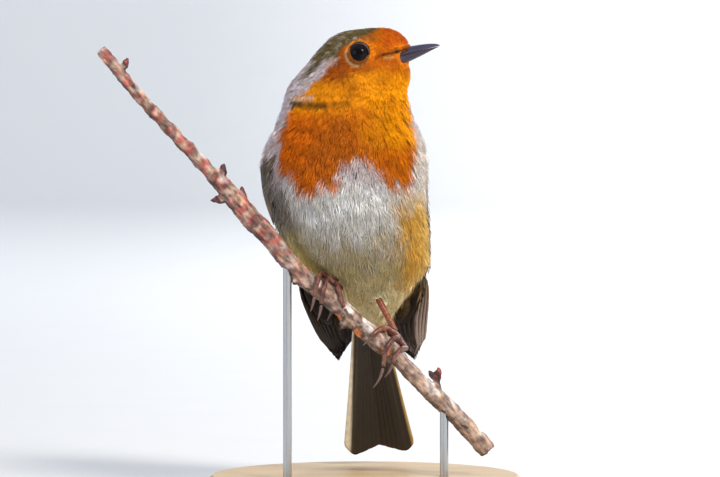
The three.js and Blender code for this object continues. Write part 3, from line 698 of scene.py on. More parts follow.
# %% Measures stored on the skin and the envelope
def distance_to(nodes, p):
    """How far points are from CAD nodes, in millimetres."""
    corners, faces = [], []
    for node in nodes:
        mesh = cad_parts[node].data
        first = len(corners)
        corners += [v.co.copy() for v in mesh.vertices]
        faces += [[first + i for i in face.vertices] for face in mesh.polygons]
    tree = BVHTree.FromPolygons(corners, faces)
    return np.array([tree.find_nearest(Vector(q) * MM)[3] / MM for q in p])


SOCKET = 3.9  # bare skin round the middle of each eye, in millimetres


def with_alpha(tone):
    return np.c_[tone, np.ones(len(tone))]


def beside_bill(p):
    """1 on the face's sides by the root of the bill, where no feathers grow."""
    f, _, u = head_place(p)
    return ease(f, 10.4, 11.4) * (1 - ease(abs(u + 3.9), 1.3, 2.2))


def drawn_in(made):
    """Narrows the face by the root of the bill, and the belly where it leaves the left wing free."""
    p = points_of(made)
    left = head_place(p)[1]
    p = p - np.outer(0.55 * left * beside_bill(p), TO_LEFT)
    x, y, z = p.T
    slim = 2.6 * ease(z, 44, 49) * (1 - ease(z, 57, 64)) * ease(x, 4, 13) * (1 - ease(y, 12, 16))
    move(made, p - slim[:, None] * np.array([1, 0, 0]))
    return points_of(made)


outer = drawn_in(skin)
depth, _ = coat_measures(outer)
give(skin, "tint", with_alpha(fine_marks(outer, markings(outer))), "FLOAT_COLOR")
socket = to_eyes(outer) < SOCKET
move(skin, outer - rows_of(skin.data.vertices, "normal") * (depth * (1 - 0.7 * socket))[:, None])

outer = drawn_in(envelope)
way_out = rows_of(envelope.data.vertices, "normal")
depth, long = coat_measures(outer)
lie = lie_of_coat(outer, way_out)
turn, z = around_trunk(outer), outer[:, 2]
wing = 1 - ease(distance_to(WINGS, outer), 0.3, 1.2 + 1.5 * (1 - ease(z, 54, 64)))
# Feathers of the shoulder lie over the wing's top, and those of the left side over its front.
shoulder = np.where(turn < 0, ease(z, 97, 100), ease(z + 0.06 * turn, 91, 97))
shoulder = np.maximum(shoulder, ease(116 - turn, 0, 6) * ease(turn, 20, 30) * ease(z, 60, 64))
socket = to_eyes(outer) < SOCKET
give(envelope, "tint", with_alpha(markings(outer + 0.6 * long[:, None] * lie)), "FLOAT_COLOR")
give(envelope, "lie", lie, "FLOAT_VECTOR")
give(envelope, "depth", depth * MM)
give(envelope, "long", long * MM)
give(envelope, "way_out", way_out, "FLOAT_VECTOR")
bare = np.maximum(np.maximum(wing * (1 - shoulder), socket), beside_bill(outer) > 0.3)
for region, share in regions(outer, bare).items():
    give(envelope, "in_" + region, share)
under = np.where(turn < 0, ease(z, 88, 97), shoulder)  # where the shoulder's feathers end
bedded = 1 - 0.85 * wing * (1 - under)
move(envelope, outer - way_out * (depth * bedded * (1 - 0.7 * socket))[:, None])
print("coat measured at", len(envelope.data.vertices), "points")

# %% [markdown]
# ## Unwrapping the skin
# Each tuft takes a small patch of a texture map at its root, so the skin needs a flat pattern of
# its own shape, like a dressmaker's. Smart UV Project cuts the surface wherever it turns away by
# more than an angle and lays the pieces side by side, which suits a body with no natural seams.

# %% Flat pattern of the skin
def unwrapped(made, margin=0.004):
    """Gives the object a flat pattern named OFBake."""
    if not made.data.uv_layers:
        made.data.uv_layers.new(name="OFBake")
    made.data.uv_layers[0].name = "OFBake"
    bpy.ops.object.select_all(action="DESELECT")
    made.select_set(True)
    bpy.context.view_layer.objects.active = made
    bpy.ops.object.mode_set(mode="EDIT")
    bpy.ops.mesh.select_all(action="SELECT")
    bpy.ops.uv.smart_project(angle_limit=math.radians(66), island_margin=margin)
    bpy.ops.object.mode_set(mode="OBJECT")
    return made


for made in (skin, envelope):
    unwrapped(made)
    print(made.name, "pattern:", len(made.data.uv_layers[0].data), "corners")

# %% [markdown]
# ## One tuft
# A body feather is a soft shaft with barbs that fan out from it, thickest at the root and loose at
# the tip. Hair curves would draw it, but they don't survive as solid mesh. A tuft here is a fan of
# five to nine tapered bars with three sides, which spring from one place. Each point of a tuft also
# carries how far it should rise from the skin, how thick it stands there, how far along it is and
# its place in the tuft's own small patch of the texture. Five different tufts are made of each kind.

# %% Tuft maker
def tuft(name, home, barbs, spread, width, ragged, seed):
    """A unit-long tuft along X: barbs in a fan, spread and width as shares of its length."""
    rng = np.random.default_rng(seed)
    points, faces, rise, stand, reach = [], [], [], [], []
    stations = [0.0, 0.34, 0.7]  # shares of a barb's length; its tip is a fourth
    for i in range(barbs):
        k = 2 * i / (barbs - 1) - 1 + rng.normal(0, 0.08)
        start = 0.22 * abs(k) * rng.uniform(0.3, 1)
        end = 1 - 0.24 * abs(k) ** 1.6 - abs(rng.normal(0, ragged))
        swing = spread * k * rng.uniform(0.8, 1.15)
        wave = rng.normal(0, 0.03)
        lift = rng.uniform(0.75, 1.05)
        broad = width * rng.uniform(0.8, 1.2)
        first = len(points)
        for t in stations + [1.0]:
            x = start + (end - start) * t
            y = swing * (1 - (1 - t) ** 1.8) + wave * math.sin(4 * t)
            w = broad * (0.75 + 0.6 * t - 1.25 * t**2) / 2
            ring = [(x, y - w, 0.0), (x, y + w, 0.0), (x, y, 1.0)] if t < 1 else [(x, y, 0.4)]
            for px, py, pz in ring:
                points.append((px, py, 0.0))
                rise.append(lift * t**0.6)
                stand.append(pz * broad * 0.4)
                reach.append(t)
        for j in range(len(stations) - 1):
            a, b = first + 3 * j, first + 3 * j + 3
            for m in range(3):
                n = (m + 1) % 3
                faces.append((a + m, b + m, b + n, a + n))
        a, tip = first + 3 * (len(stations) - 1), first + 3 * len(stations)
        faces += [(a + m, tip, a + (m + 1) % 3) for m in range(3)]
        faces.append((first + 2, first + 1, first))
    made = new_object(name, points, [f[::-1] for f in faces], unit=1.0)
    bpy.context.scene.collection.objects.unlink(made)
    home.objects.link(made)
    give(made, "rise", rise)
    give(made, "stand", stand)
    give(made, "reach", reach)
    place = np.array(points)
    patch = np.c_[place[:, 0] - 0.5, place[:, 1] / (2.2 * spread), np.zeros(len(points))]
    give(made, "patch", np.clip(patch, -0.5, 0.5), "FLOAT_VECTOR")
    return made


TUFTS = 5  # different tufts of each kind


def tuft_kind(name, **shape):
    """Several tufts of one kind, in a collection that isn't part of the scene."""
    home = bpy.data.collections.new(name)
    for i in range(TUFTS):
        tuft(f"{name}_{i}", home, seed=100 + i, **shape)
    return home


KINDS = {
    "face": tuft_kind("face", barbs=5, spread=0.24, width=0.085, ragged=0.05),
    "contour": tuft_kind("contour", barbs=8, spread=0.17, width=0.040, ragged=0.05),
    "plume": tuft_kind("plume", barbs=9, spread=0.15, width=0.028, ragged=0.09),
}

# %% [markdown]
# ## The coat
# Thousands of tufts have to follow the skin, which is what Geometry Nodes are good at. The tree
# scatters roots over one region with an even spacing, turns each tuft so that it stands on the skin
# and points along the lie, scales it to the feather length stored there, and makes it real mesh.
# Then it lays every point onto the envelope: the nearest place there, plus the height that the
# point should rise to. A straight tuft so becomes one that hugs the body. The last nodes give each
# tuft its patch of the texture map and its material.

# %% Coat tree
PATCH = 0.003  # size of a tuft's patch, as a share of the texture map


def coat_tree():
    tree = bpy.data.node_groups.new("feather_coat", "GeometryNodeTree")
    for name, kind in (
        ("Skin", "Geometry"), ("Envelope", "Object"), ("Tufts", "Collection"), ("Region", "String"),
        ("Spacing", "Float"), ("Loose", "Float"), ("Seed", "Int"), ("Finish", "Material"),
    ):  # fmt: skip
        tree.interface.new_socket(name, in_out="INPUT", socket_type="NodeSocket" + kind)
    tree.interface.new_socket("Coat", in_out="OUTPUT", socket_type="NodeSocketGeometry")
    given = add(tree, "NodeGroupInput").outputs

    def geometry(kind, inputs, **settings):
        return add(tree, "GeometryNode" + kind, inputs, **settings)

    def stored(name, kind="FLOAT"):
        return geometry("InputNamedAttribute", {"Name": name}, data_type=kind)

    def store(mesh, name, value, kind="FLOAT", domain="POINT"):
        inputs = {"Geometry": mesh, "Name": name, "Value": value}
        return geometry("StoreNamedAttribute", inputs, data_type=kind, domain=domain)

    def maths(operation, a, b):
        return add(tree, "ShaderNodeMath", {0: a, 1: b}, operation=operation)

    def vector(operation, inputs):
        return add(tree, "ShaderNodeVectorMath", inputs, operation=operation)

    def chance(low, high, seed):
        return add(tree, "FunctionNodeRandomValue", {2: low, 3: high, "Seed": seed})

    def aligned(axis, inputs, **settings):
        return add(tree, "FunctionNodeAlignRotationToVector", inputs, axis=axis, **settings)

    # Roots, each with its turn, size, lift, luck and place on the texture map
    crowd = maths("DIVIDE", 1.6, maths("MULTIPLY", given["Spacing"], given["Spacing"]))
    roots = geometry("DistributePointsOnFaces", {
        "Mesh": given["Skin"], "Distance Min": given["Spacing"], "Density Max": crowd,
        "Density Factor": stored(given["Region"]), "Seed": given["Seed"],
    }, distribute_method="POISSON").outputs  # fmt: skip
    upright = aligned("Z", {"Vector": roots["Normal"]})
    lie = {"Rotation": upright, "Vector": stored("lie", "FLOAT_VECTOR")}
    swing = maths("MULTIPLY", given["Loose"], chance(-1.0, 1.0, 11))
    spin = add(tree, "FunctionNodeEulerToRotation", {0: add(tree, "ShaderNodeCombineXYZ", {2: swing})})
    turned = add(
        tree, "FunctionNodeRotateRotation",
        {"Rotation": aligned("X", lie, pivot_axis="Z"), "Rotate By": spin}, rotation_space="LOCAL",
    )  # fmt: skip
    seeded = store(roots["Points"], "size", maths("MULTIPLY", stored("long"), chance(0.82, 1.15, 12)))
    seeded = store(seeded, "lift", chance(0.75, 1.15, 13))
    seeded = store(seeded, "luck", chance(0.0, 1.0, 14))
    seeded = store(seeded, "root_map", stored("OFBake", "FLOAT_VECTOR"), "FLOAT_VECTOR")
    seeded = geometry("RemoveAttribute", {"Geometry": seeded, "Name": "OFBake"})

    # A tuft on each root, as real mesh
    kinds = {"Collection": given["Tufts"], "Separate Children": True, "Reset Children": True}
    which = {4: 0, 5: TUFTS - 1, "Seed": 15}
    planted = geometry("InstanceOnPoints", {
        "Points": seeded, "Instance": geometry("CollectionInfo", kinds), "Pick Instance": True,
        "Instance Index": add(tree, "FunctionNodeRandomValue", which, data_type="INT"),
        "Rotation": turned, "Scale": stored("size"),
    })  # fmt: skip
    real = geometry("RealizeInstances", {"Geometry": planted})

    # Every point laid onto the envelope, and raised from it
    form = geometry("ObjectInfo", {"Object": given["Envelope"]}, transform_space="ORIGINAL")
    here = geometry("InputPosition", {})

    def nearest(value):
        inputs = {"Mesh": form.outputs["Geometry"], "Value": value, "Sample Position": here}
        return geometry("SampleNearestSurface", inputs, data_type="FLOAT_VECTOR")

    ground = nearest(here)
    outward = vector("NORMALIZE", {0: nearest(stored("way_out", "FLOAT_VECTOR"))})
    rise = maths("MULTIPLY", maths("MULTIPLY", stored("rise"), stored("depth")), stored("lift"))
    height = maths("ADD", rise, maths("MULTIPLY", stored("stand"), stored("size")))
    raised = vector("SCALE", {0: outward, "Scale": height})
    spot = vector("SCALE", {0: stored("patch", "FLOAT_VECTOR"), "Scale": PATCH})
    hugged = {"Geometry": real, "Position": vector("ADD", {0: ground, 1: raised})}
    on_map = vector("ADD", {0: stored("root_map", "FLOAT_VECTOR"), 1: spot})
    mapped = store(geometry("SetPosition", hugged), "OFBake", on_map, "FLOAT2", "CORNER")
    done = geometry("SetMaterial", {"Geometry": mapped, "Material": given["Finish"]})
    add(tree, "NodeGroupOutput", {"Coat": done})
    return tree


COAT = coat_tree()
print("coat tree", len(COAT.nodes), "nodes")

# %% [markdown]
# ## Plumage finish
# A feather is keratin, which is matt: light sinks into the barbs and comes out soft, and only a
# little is thrown back along the rim. Its colour is the marking stored at the tuft's root, greyer
# and darker where the down shows at the base, and a little different from tuft to tuft.

# %% Plumage materials
def plumage(name, root_shade, streaks):
    """Keratin barbs: matt, with dim roots and fine streaks along the body."""
    coat = Finish(name)
    fine = coat.noise(coat.place(), drawn=(1400, 1400, 350))
    root = coat.remap(coat.stored("reach"), 0.0, 0.55, root_shade, 1.0)
    each = coat.remap(coat.stored("luck"), 0.0, 1.0, 0.92, 1.08)
    grain = coat.remap(fine, 0.3, 0.7, 1 - streaks, 1 + streaks)
    shade = coat.times(coat.times(root, each), grain)
    return coat.surface({
        "Base Color": coat.shaded(coat.stored("tint", "Color"), shade), "Roughness": 0.72, "IOR": 1.5,
        "Specular IOR Level": 0.1, "Sheen Weight": 0.04, "Sheen Roughness": 0.5,
    })  # fmt: skip


feather_coat = plumage("keratin_barbs", root_shade=0.92, streaks=0.07)
skin_down = plumage("down_over_skin", root_shade=1.0, streaks=0.15)
print("plumage:", feather_coat.name, skin_down.name)


# %% Plant the coat, region by region
def wear(made, finish):
    """Gives an object one material, in place of any that it has."""
    made.data.materials.clear()
    made.data.materials.append(finish)


def keep(made, slot, *nodes, finish=None):
    """The finished piece rides on the model and stands for CAD nodes; slot is not used."""
    if finish:
        wear(made, finish)
    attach(made, "root")
    if nodes:
        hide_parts(*nodes)
    print(made.name, triangles(made), "triangles")


def triangles(made):
    return sum(len(face.vertices) - 2 for face in made.data.polygons)


def reshaped(made, change):
    """Runs one bmesh step, which change does to the object's mesh."""
    shape = bmesh.new()
    shape.from_mesh(made.data)
    change(shape)
    shape.to_mesh(made.data)
    shape.free()


def without_strays(made, longest):
    """Deletes each tuft that the envelope's folds have torn: one with an edge over so many mm."""
    mesh = made.data
    ends = rows_of(mesh.edges, "vertices", 2).astype(int)
    p = points_of(made)
    torn = ends[np.linalg.norm(p[ends[:, 0]] - p[ends[:, 1]], axis=1) > longest].ravel()
    luck = rows_of(mesh.attributes["luck"].data, "value", 1).ravel()
    stray = np.nonzero(np.isin(luck, luck[torn]))[0]

    def cut(shape):
        shape.verts.ensure_lookup_table()
        bmesh.ops.delete(shape, geom=[shape.verts[i] for i in stray], context="VERTS")

    if len(stray):
        reshaped(made, cut)
        print(made.name, len(stray), "points of torn tufts deleted")


# Values that only the coat tree reads; a finished coat keeps its tint, luck, reach and map.
SCRATCH = ("lie", "rise", "stand", "patch", "root_map", "size", "lift", "long", "depth", "way_out")


def planted_coat(region, kind, spacing, loose, seed):
    """The feather tufts of one region as one plain mesh."""
    made = bpy.data.objects.new("coat_" + region, envelope.data)
    bpy.context.scene.collection.objects.link(made)
    step = made.modifiers.new("coat", "NODES")
    step.node_group = COAT
    wanted = {
        "Envelope": envelope, "Tufts": KINDS[kind], "Region": "in_" + region,
        "Spacing": spacing * MM, "Loose": loose, "Seed": seed, "Finish": feather_coat,
    }  # fmt: skip
    for item in COAT.interface.items_tree:
        if item.in_out == "INPUT" and item.name in wanted:
            step[item.identifier] = wanted[item.name]
    settled(made)
    without_strays(made, longest=7.0 if region == "vent" else 5.0)
    measured = [a.name for a in made.data.attributes if a.name.startswith("in_") or a.name in SCRATCH]
    for name in measured:
        made.data.attributes.remove(made.data.attributes[name])
    made.data.shade_smooth()
    layer = made.data.attributes["tint"].data
    tone = rows_of(layer, "color", 4)
    tone[:, :3] = fine_marks(points_of(made), tone[:, :3])
    layer.foreach_set("color", tone.astype(np.float32).ravel())
    return made


# Region, kind of tuft, spacing in mm, looseness in radians, seed and material slot
PLANS = [
    ("face", "face", 0.5, 0.18, 21, "orange_plumage"),
    ("crown", "contour", 0.72, 0.22, 22, "orange_plumage"),
    ("breast", "contour", 0.85, 0.22, 23, "pale_plumage"),
    ("chest", "contour", 0.85, 0.22, 27, "pale_plumage"),
    ("belly", "plume", 1.0, 0.26, 24, "pale_plumage"),
    ("back", "contour", 1.1, 0.22, 25, "pale_plumage"),
    ("vent", "plume", 1.0, 0.3, 26, "pale_plumage"),
]
for *plan, slot in PLANS:
    keep(planted_coat(*plan), slot)
keep(skin, "pale_plumage", *FLESH, finish=skin_down)
bpy.data.objects.remove(envelope)

# %% [markdown]
# ## Vanes: wings and tail
# Flight feathers are flat vanes on a stiff shaft, and a folded wing is a stack of them, like roof
# slates: small coverts at the top, then greater coverts, tertials, secondaries, and the long
# primaries that end in the wing's tip. Each vane here is a thin closed blade on a curved grid. It
# is laid on the sheath that the wing solid was built on, each layer a little further out than the
# one below, so wing and solid keep the same form. All the vanes of one wing are one mesh.

# %% Blades on a grid
def face_outwards(shape):
    bmesh.ops.recalc_face_normals(shape, faces=shape.faces)


class Vanes:
    """Collects feather blades, and makes one mesh of them with a texture patch for each."""

    def __init__(self, total):
        self.points, self.faces, self.tint, self.map, self.along = [], [], [], [], []
        self.cells = math.ceil(math.sqrt(total))
        self.made = 0

    def blade(self, place, outward, thick, tints):
        """place, outward, tints: arrays [along, across, 3]; thick: [along, across]."""
        rows, columns = thick.shape
        first = len(self.points)
        cell = np.array([self.made % self.cells, self.made // self.cells]) / self.cells
        for side in (1, -1):
            half, start = (0.46, 0.0) if side > 0 else (0.23, 0.475)  # of the cell, for each side
            for i in range(rows):
                for j in range(columns):
                    self.points.append(place[i, j] + side * outward[i, j] * thick[i, j] / 2)
                    self.tint.append([*tints[i, j], 1.0])
                    self.along.append([j / (columns - 1) * 2 - 1, i / (rows - 1), side])
                    offset = (j / (columns - 1) * half + start) * 0.95
                    self.map.append(cell + np.array([offset * 0.5, i / (rows - 1) * 0.92]) / self.cells)
        under = first + rows * columns

        def at(i, j, side):
            return (first if side > 0 else under) + i * columns + j

        for i in range(rows - 1):
            for j in range(columns - 1):
                self.faces.append((at(i, j, 1), at(i, j + 1, 1), at(i + 1, j + 1, 1), at(i + 1, j, 1)))
                under_face = at(i, j, -1), at(i + 1, j, -1), at(i + 1, j + 1, -1), at(i, j + 1, -1)
                self.faces.append(under_face)
        rim = [(0, j) for j in range(columns)]
        rim += [(i, columns - 1) for i in range(1, rows)]
        rim += [(rows - 1, j) for j in range(columns - 2, -1, -1)]
        rim += [(i, 0) for i in range(rows - 2, 0, -1)]
        for k, (i, j) in enumerate(rim):
            m, n = rim[(k + 1) % len(rim)]
            self.faces.append((at(i, j, 1), at(i, j, -1), at(m, n, -1), at(m, n, 1)))
        self.made += 1

    def mesh(self, name):
        made = new_object(name, self.points, self.faces)
        reshaped(made, face_outwards)
        give(made, "tint", np.array(self.tint), "FLOAT_COLOR")
        give(made, "vane", np.array(self.along), "FLOAT_VECTOR")
        layer = made.data.uv_layers.new(name="OFBake")
        corner = rows_of(made.data.loops, "vertex_index", 1).ravel().astype(int)
        layer.data.foreach_set("uv", np.array(self.map, np.float32)[corner].ravel())
        made.data.shade_smooth()
        return made


def grid(rows, columns):
    """Shares from 0 to 1 along a blade and from -1 to 1 across it."""
    return np.linspace(0, 1, rows)[:, None], np.linspace(-1, 1, columns)[None, :]


def one_tone(rows, columns, tone):
    return np.zeros((rows, columns, 3)) + np.array(linear(tone)[:3])


def outline(t, tip):
    """Half width of a feather at shares t of its length; tip from 0, pointed, to 1, square."""
    root = 0.08 + 0.92 * ease(t, 0, 0.3)
    power = 1.5 + 12 * tip
    return root * np.maximum(1 - t**power, 0) ** 0.5


# %% Form of the folded wing
# Height, turn, half spread and yaw in degrees round the sheath, and thickness
WING = smooth_rows([
    (101.5, -7, 4, 10, 2.0), (98.5, 1, 12, 10, 2.4), (93, 11, 20, 10, 3.0), (85, 24, 26, 10, 3.6),
    (75, 35, 28, 10, 4.0), (65, 42, 27, 10, 4.2), (56, 43.5, 24, 10, 3.4), (47, 52, 23.4, 9.2, 2.2),
    (41, 52, 16, 7.8, 1.6), (38, 50, 9, 5.5, 1.3), (35.2, 49, 4, 4, 1.0),
])  # fmt: skip


def on_sheath(side, turn, z):
    """Points of the sheath at a turn in degrees and a height."""
    x, half, front, rear = sheath_row(z.ravel()).T
    angle = np.radians(turn.ravel())
    y = (front + rear) / 2 + (rear - front) / 2 * np.sin(angle)
    return np.c_[x + side * half * np.cos(angle), y, z.ravel()].reshape(*z.shape, 3)


def wing_places(side, share, z):
    """Points, outward directions and the wing's thickness at shares across it and heights."""
    turn, spread, yaw, body = (WING(z.ravel())[:, i].reshape(z.shape) for i in range(4))
    angle = turn + side * yaw + share * spread
    place = on_sheath(side, angle, z)
    step = 0.5
    around = on_sheath(side, angle + step, z) - on_sheath(side, angle - step, z)
    upward = on_sheath(side, angle, z + step) - on_sheath(side, angle, z - step)
    outward = np.cross(around, upward)
    outward /= np.linalg.norm(outward, axis=2, keepdims=True)
    return place, outward * np.sign(outward[..., :1] * side), body


def share_width(z):
    """How many millimetres one share of the wing's width is at heights z."""
    spread = WING(z.ravel())[:, 1].reshape(z.shape)
    radius = sheath_row(z.ravel())[:, 1].reshape(z.shape)
    return np.radians(spread) * (radius + 1.5)


def under_feathers(side, place):
    """1 where the body's feathers lie over the wing: its top, and the front of the left wing."""
    p = place.reshape(-1, 3)
    covered = ease(p[:, 2], *((88.5, 93.5) if side > 0 else (92, 97)))
    if side > 0:
        covered = np.maximum(covered, ease(117 - around_trunk(p), 0, 6) * ease(p[:, 2], 58, 63))
    return covered.reshape(place.shape[:2])


# %% One feather, and the lining
def wing_feather(vanes, side, root, tip, half, layer, square, tone, edge, bright):
    """root and tip: (share across the wing from -1 at its front edge to 1, height in mm)."""
    rows, columns = 17, 7
    t, s = grid(rows, columns)
    z = root[1] + (tip[1] - root[1]) * t + 0 * s
    share = root[0] + (tip[0] - root[0]) * t
    width = half * outline(t, square) * s
    share = share + np.clip(width / share_width(z), -1.2, 1.2)
    z = z + 0.5 * s**2 * half * t**4
    place, outward, body = wing_places(side, share, z)
    crown = 0.22 * (1 - s**2) * (1 - 0.6 * t)
    flank = 0.4 + 0.6 * np.sqrt(np.maximum(1 - share**2, 0))
    out = (layer[0] + (layer[1] - layer[0]) * t) * body / 2 * flank + 0.16 * s + crown
    out -= 0.9 * (1 - ease(t, 0, 0.18)) + 1.8 * under_feathers(side, place)
    place = place + outward * out[..., None]
    shaft = np.exp(-((s / 0.13) ** 2)) * (1 - t)
    thick = 0.14 + 0.14 * (1 - s**2) * (1 - 0.5 * t) + 0.22 * shaft
    tints = one_tone(rows, columns, tone)
    rim = np.maximum(ease(-s * np.ones_like(t), 0.35, 0.95), 0.8 * ease(t + 0 * s, 0.9, 1.0))
    tints += (np.array(linear(edge)[:3]) - tints) * rim[..., None] * bright
    tints *= (1 - 0.4 * np.exp(-((s / 0.1) ** 2)))[..., None]
    vanes.blade(place, outward, thick, tints)


def wing_lining(vanes, side):
    """The dark closed form under the vanes, so that no light shows between them."""
    rows, columns = 29, 13
    t, s = grid(rows, columns)
    z = 96 - 50 * t + 0 * s
    taper = np.sqrt(np.maximum(1 - t**6, 0.02)) * ease(t, -0.1, 0.12)
    place, outward, body = wing_places(side, 0.86 * s * taper, z)
    thick = 0.5 * body * taper * np.sqrt(np.maximum(1 - s**2, 0.04))
    place = place - outward * (1.0 * under_feathers(side, place))[..., None]
    place = place - outward * (0.1 * body)[..., None]
    vanes.blade(place, outward, thick, one_tone(rows, columns, "#2b211a"))


# %% One folded wing
# Groups of feathers, from the long ones up to the small coverts. Each says how many there are, and
# the share across the wing where the first and the last are rooted. Then come five pairs, each a
# value at the first feather and what is added towards the last: height of the root, share and
# height of the tip, and how far out the root and the tip lie. Last are the half width, the
# squareness of the tip, and the tones of vane and edge.
FEATHERS = {
    "primaries": (
        9, (-0.82, 0.15), ((80, 4), (-1.0, 2.0), None, (0.35, 0.3), (0.2, 0.75)),
        3.1, 0.9, "#2a1f18", "#4a3a2e",
    ),
    "secondaries": (
        6, (-0.35, 0.5), ((88, 2), (-0.35, 0.95), (49, 6), (0.6, 0.15), (0.8, 0.1)),
        3.6, 0.5, "#33271c", "#77603c",
    ),
    "tertials": (
        3, (0.3, 0.72), ((90, 0), (0.3, 0.34), (57, 9), (0.75, 0), (0.95, 0.05)),
        4.4, 0.6, "#3c2f21", "#6e5a3c",
    ),
    "primary coverts": (
        6, (-0.9, -0.5), ((91, 0), (-0.86, 0.45), (69, 3), (0.6, 0), (0.72, 0)),
        2.2, 0.4, "#2c2219", "#5c4832",
    ),
    "alula": (
        3, (-0.95, -0.9), ((95, -2), (-0.84, 0.12), (84, -7), (0.7, 0), (0.85, 0)),
        2.2, 0.4, "#2c2219", "#62503a",
    ),
    "greater coverts": (
        9, (-0.72, 0.72), ((94, 0), (-0.7, 1.45), (76, 4), (0.8, 0), (0.98, 0)),
        3.3, 0.6, "#41341f", "#8a6c3e",
    ),
    "median coverts": (
        9, (-0.8, 0.8), ((97, 0), (-0.84, 1.68), (85, 2), (0.75, 0), (0.96, 0)),
        3.2, 0.6, "#46361f", "#5e4a30",
    ),
    "lesser coverts": (
        8, (-0.75, 0.8), ((99, 0), (-0.84, 1.68), (89.5, 2), (0.7, 0), (0.98, 0)),
        2.9, 0.6, "#4c3c24", "#625034",
    ),
}  # fmt: skip
PRIMARY_TIPS = (38.4, 37.2, 36.4, 36.0, 35.8, 35.9, 36.3, 37.0, 38.2)  # heights in mm
MAP_CELLS = 90  # places on a wing's texture map, more than it has blades
print(sum(group[0] for group in FEATHERS.values()), "feathers in each wing")


def folded_wing(side, name):
    """A lining with every group of feathers over it. The left wing's front primaries are pale-edged."""
    vanes = Vanes(MAP_CELLS)
    wing_lining(vanes, side)
    for count, (first, last), pairs, half, square, tone, usual_edge in FEATHERS.values():
        for i in range(count):
            g = i / (count - 1)
            start = first + (last - first) * i / (count - 1)
            pale = pairs[2] is None and side > 0 and g < 0.45
            edge, bright = ("#e0c8bc", 1.0) if pale else (usual_edge, 0.85)
            top, across, low, inner, outer = (pair and pair[0] + pair[1] * g for pair in pairs)
            tip = (across, PRIMARY_TIPS[i] if low is None else low)
            layer = (inner, outer)
            wing_feather(vanes, side, (start, top), tip, half, layer, square, tone, edge, bright)
    return vanes.mesh("wing_feathers_" + name)


# %% [markdown]
# ## Vane finish
# A vane's barbs run out from the shaft at a slant, about a third of a millimetre apart once they
# are drawn coarse enough to show. The pattern is worked out from each blade's own place across and
# along, which is stored on its points, so it follows every feather however it lies.

# %% Vane material
def vane_finish():
    """Stiff keratin vane: satin, ribbed by its barbs on both sides of the shaft."""
    vane = Finish("keratin_vane")
    across, along, _ = vane.split(vane.stored("vane", "Vector"))
    slant = vane.maths("ADD", vane.times(vane.maths("ABSOLUTE", across), -0.22), along)
    barbs = vane.maths("SINE", vane.times(slant, 320.0))
    mottle = vane.noise(vane.place(), 600.0, 3.0)
    ribbed = vane.remap(barbs, -1.0, 1.0, 0.86, 1.06)
    shade = vane.times(ribbed, vane.remap(mottle, 0.3, 0.7, 0.85, 1.12))
    return vane.surface({
        "Base Color": vane.shaded(vane.stored("tint", "Color"), shade), "Roughness": 0.5, "IOR": 1.54,
        "Specular IOR Level": 0.4, "Normal": vane.relief(barbs, 0.25, 0.00005),
    })  # fmt: skip


vane_keratin = vane_finish()
for name, side in SIDES:
    keep(folded_wing(side, name), "flight_feathers", "wing_" + name, finish=vane_keratin)

# %% [markdown]
# ## Tail
# Twelve tail feathers lie in a shallow fan, the middle pair on top, with a shallow notch at the
# end. Seen from in front it is their undersides that show, with pale outer edges.

# %% Twelve tail feathers
TAIL_ROOT = np.array([0.6, 13.6, 51.5])
TAIL_TIP = np.array([4.4, 31.6, 8.0])
TAIL_HALF = (4.8, 7.3, 10.0)  # half width at the root, of the curve's middle, and at the tip
NOTCH = 2.4  # depth of the notch at the end, in mm
TAIL_COUNT = 12


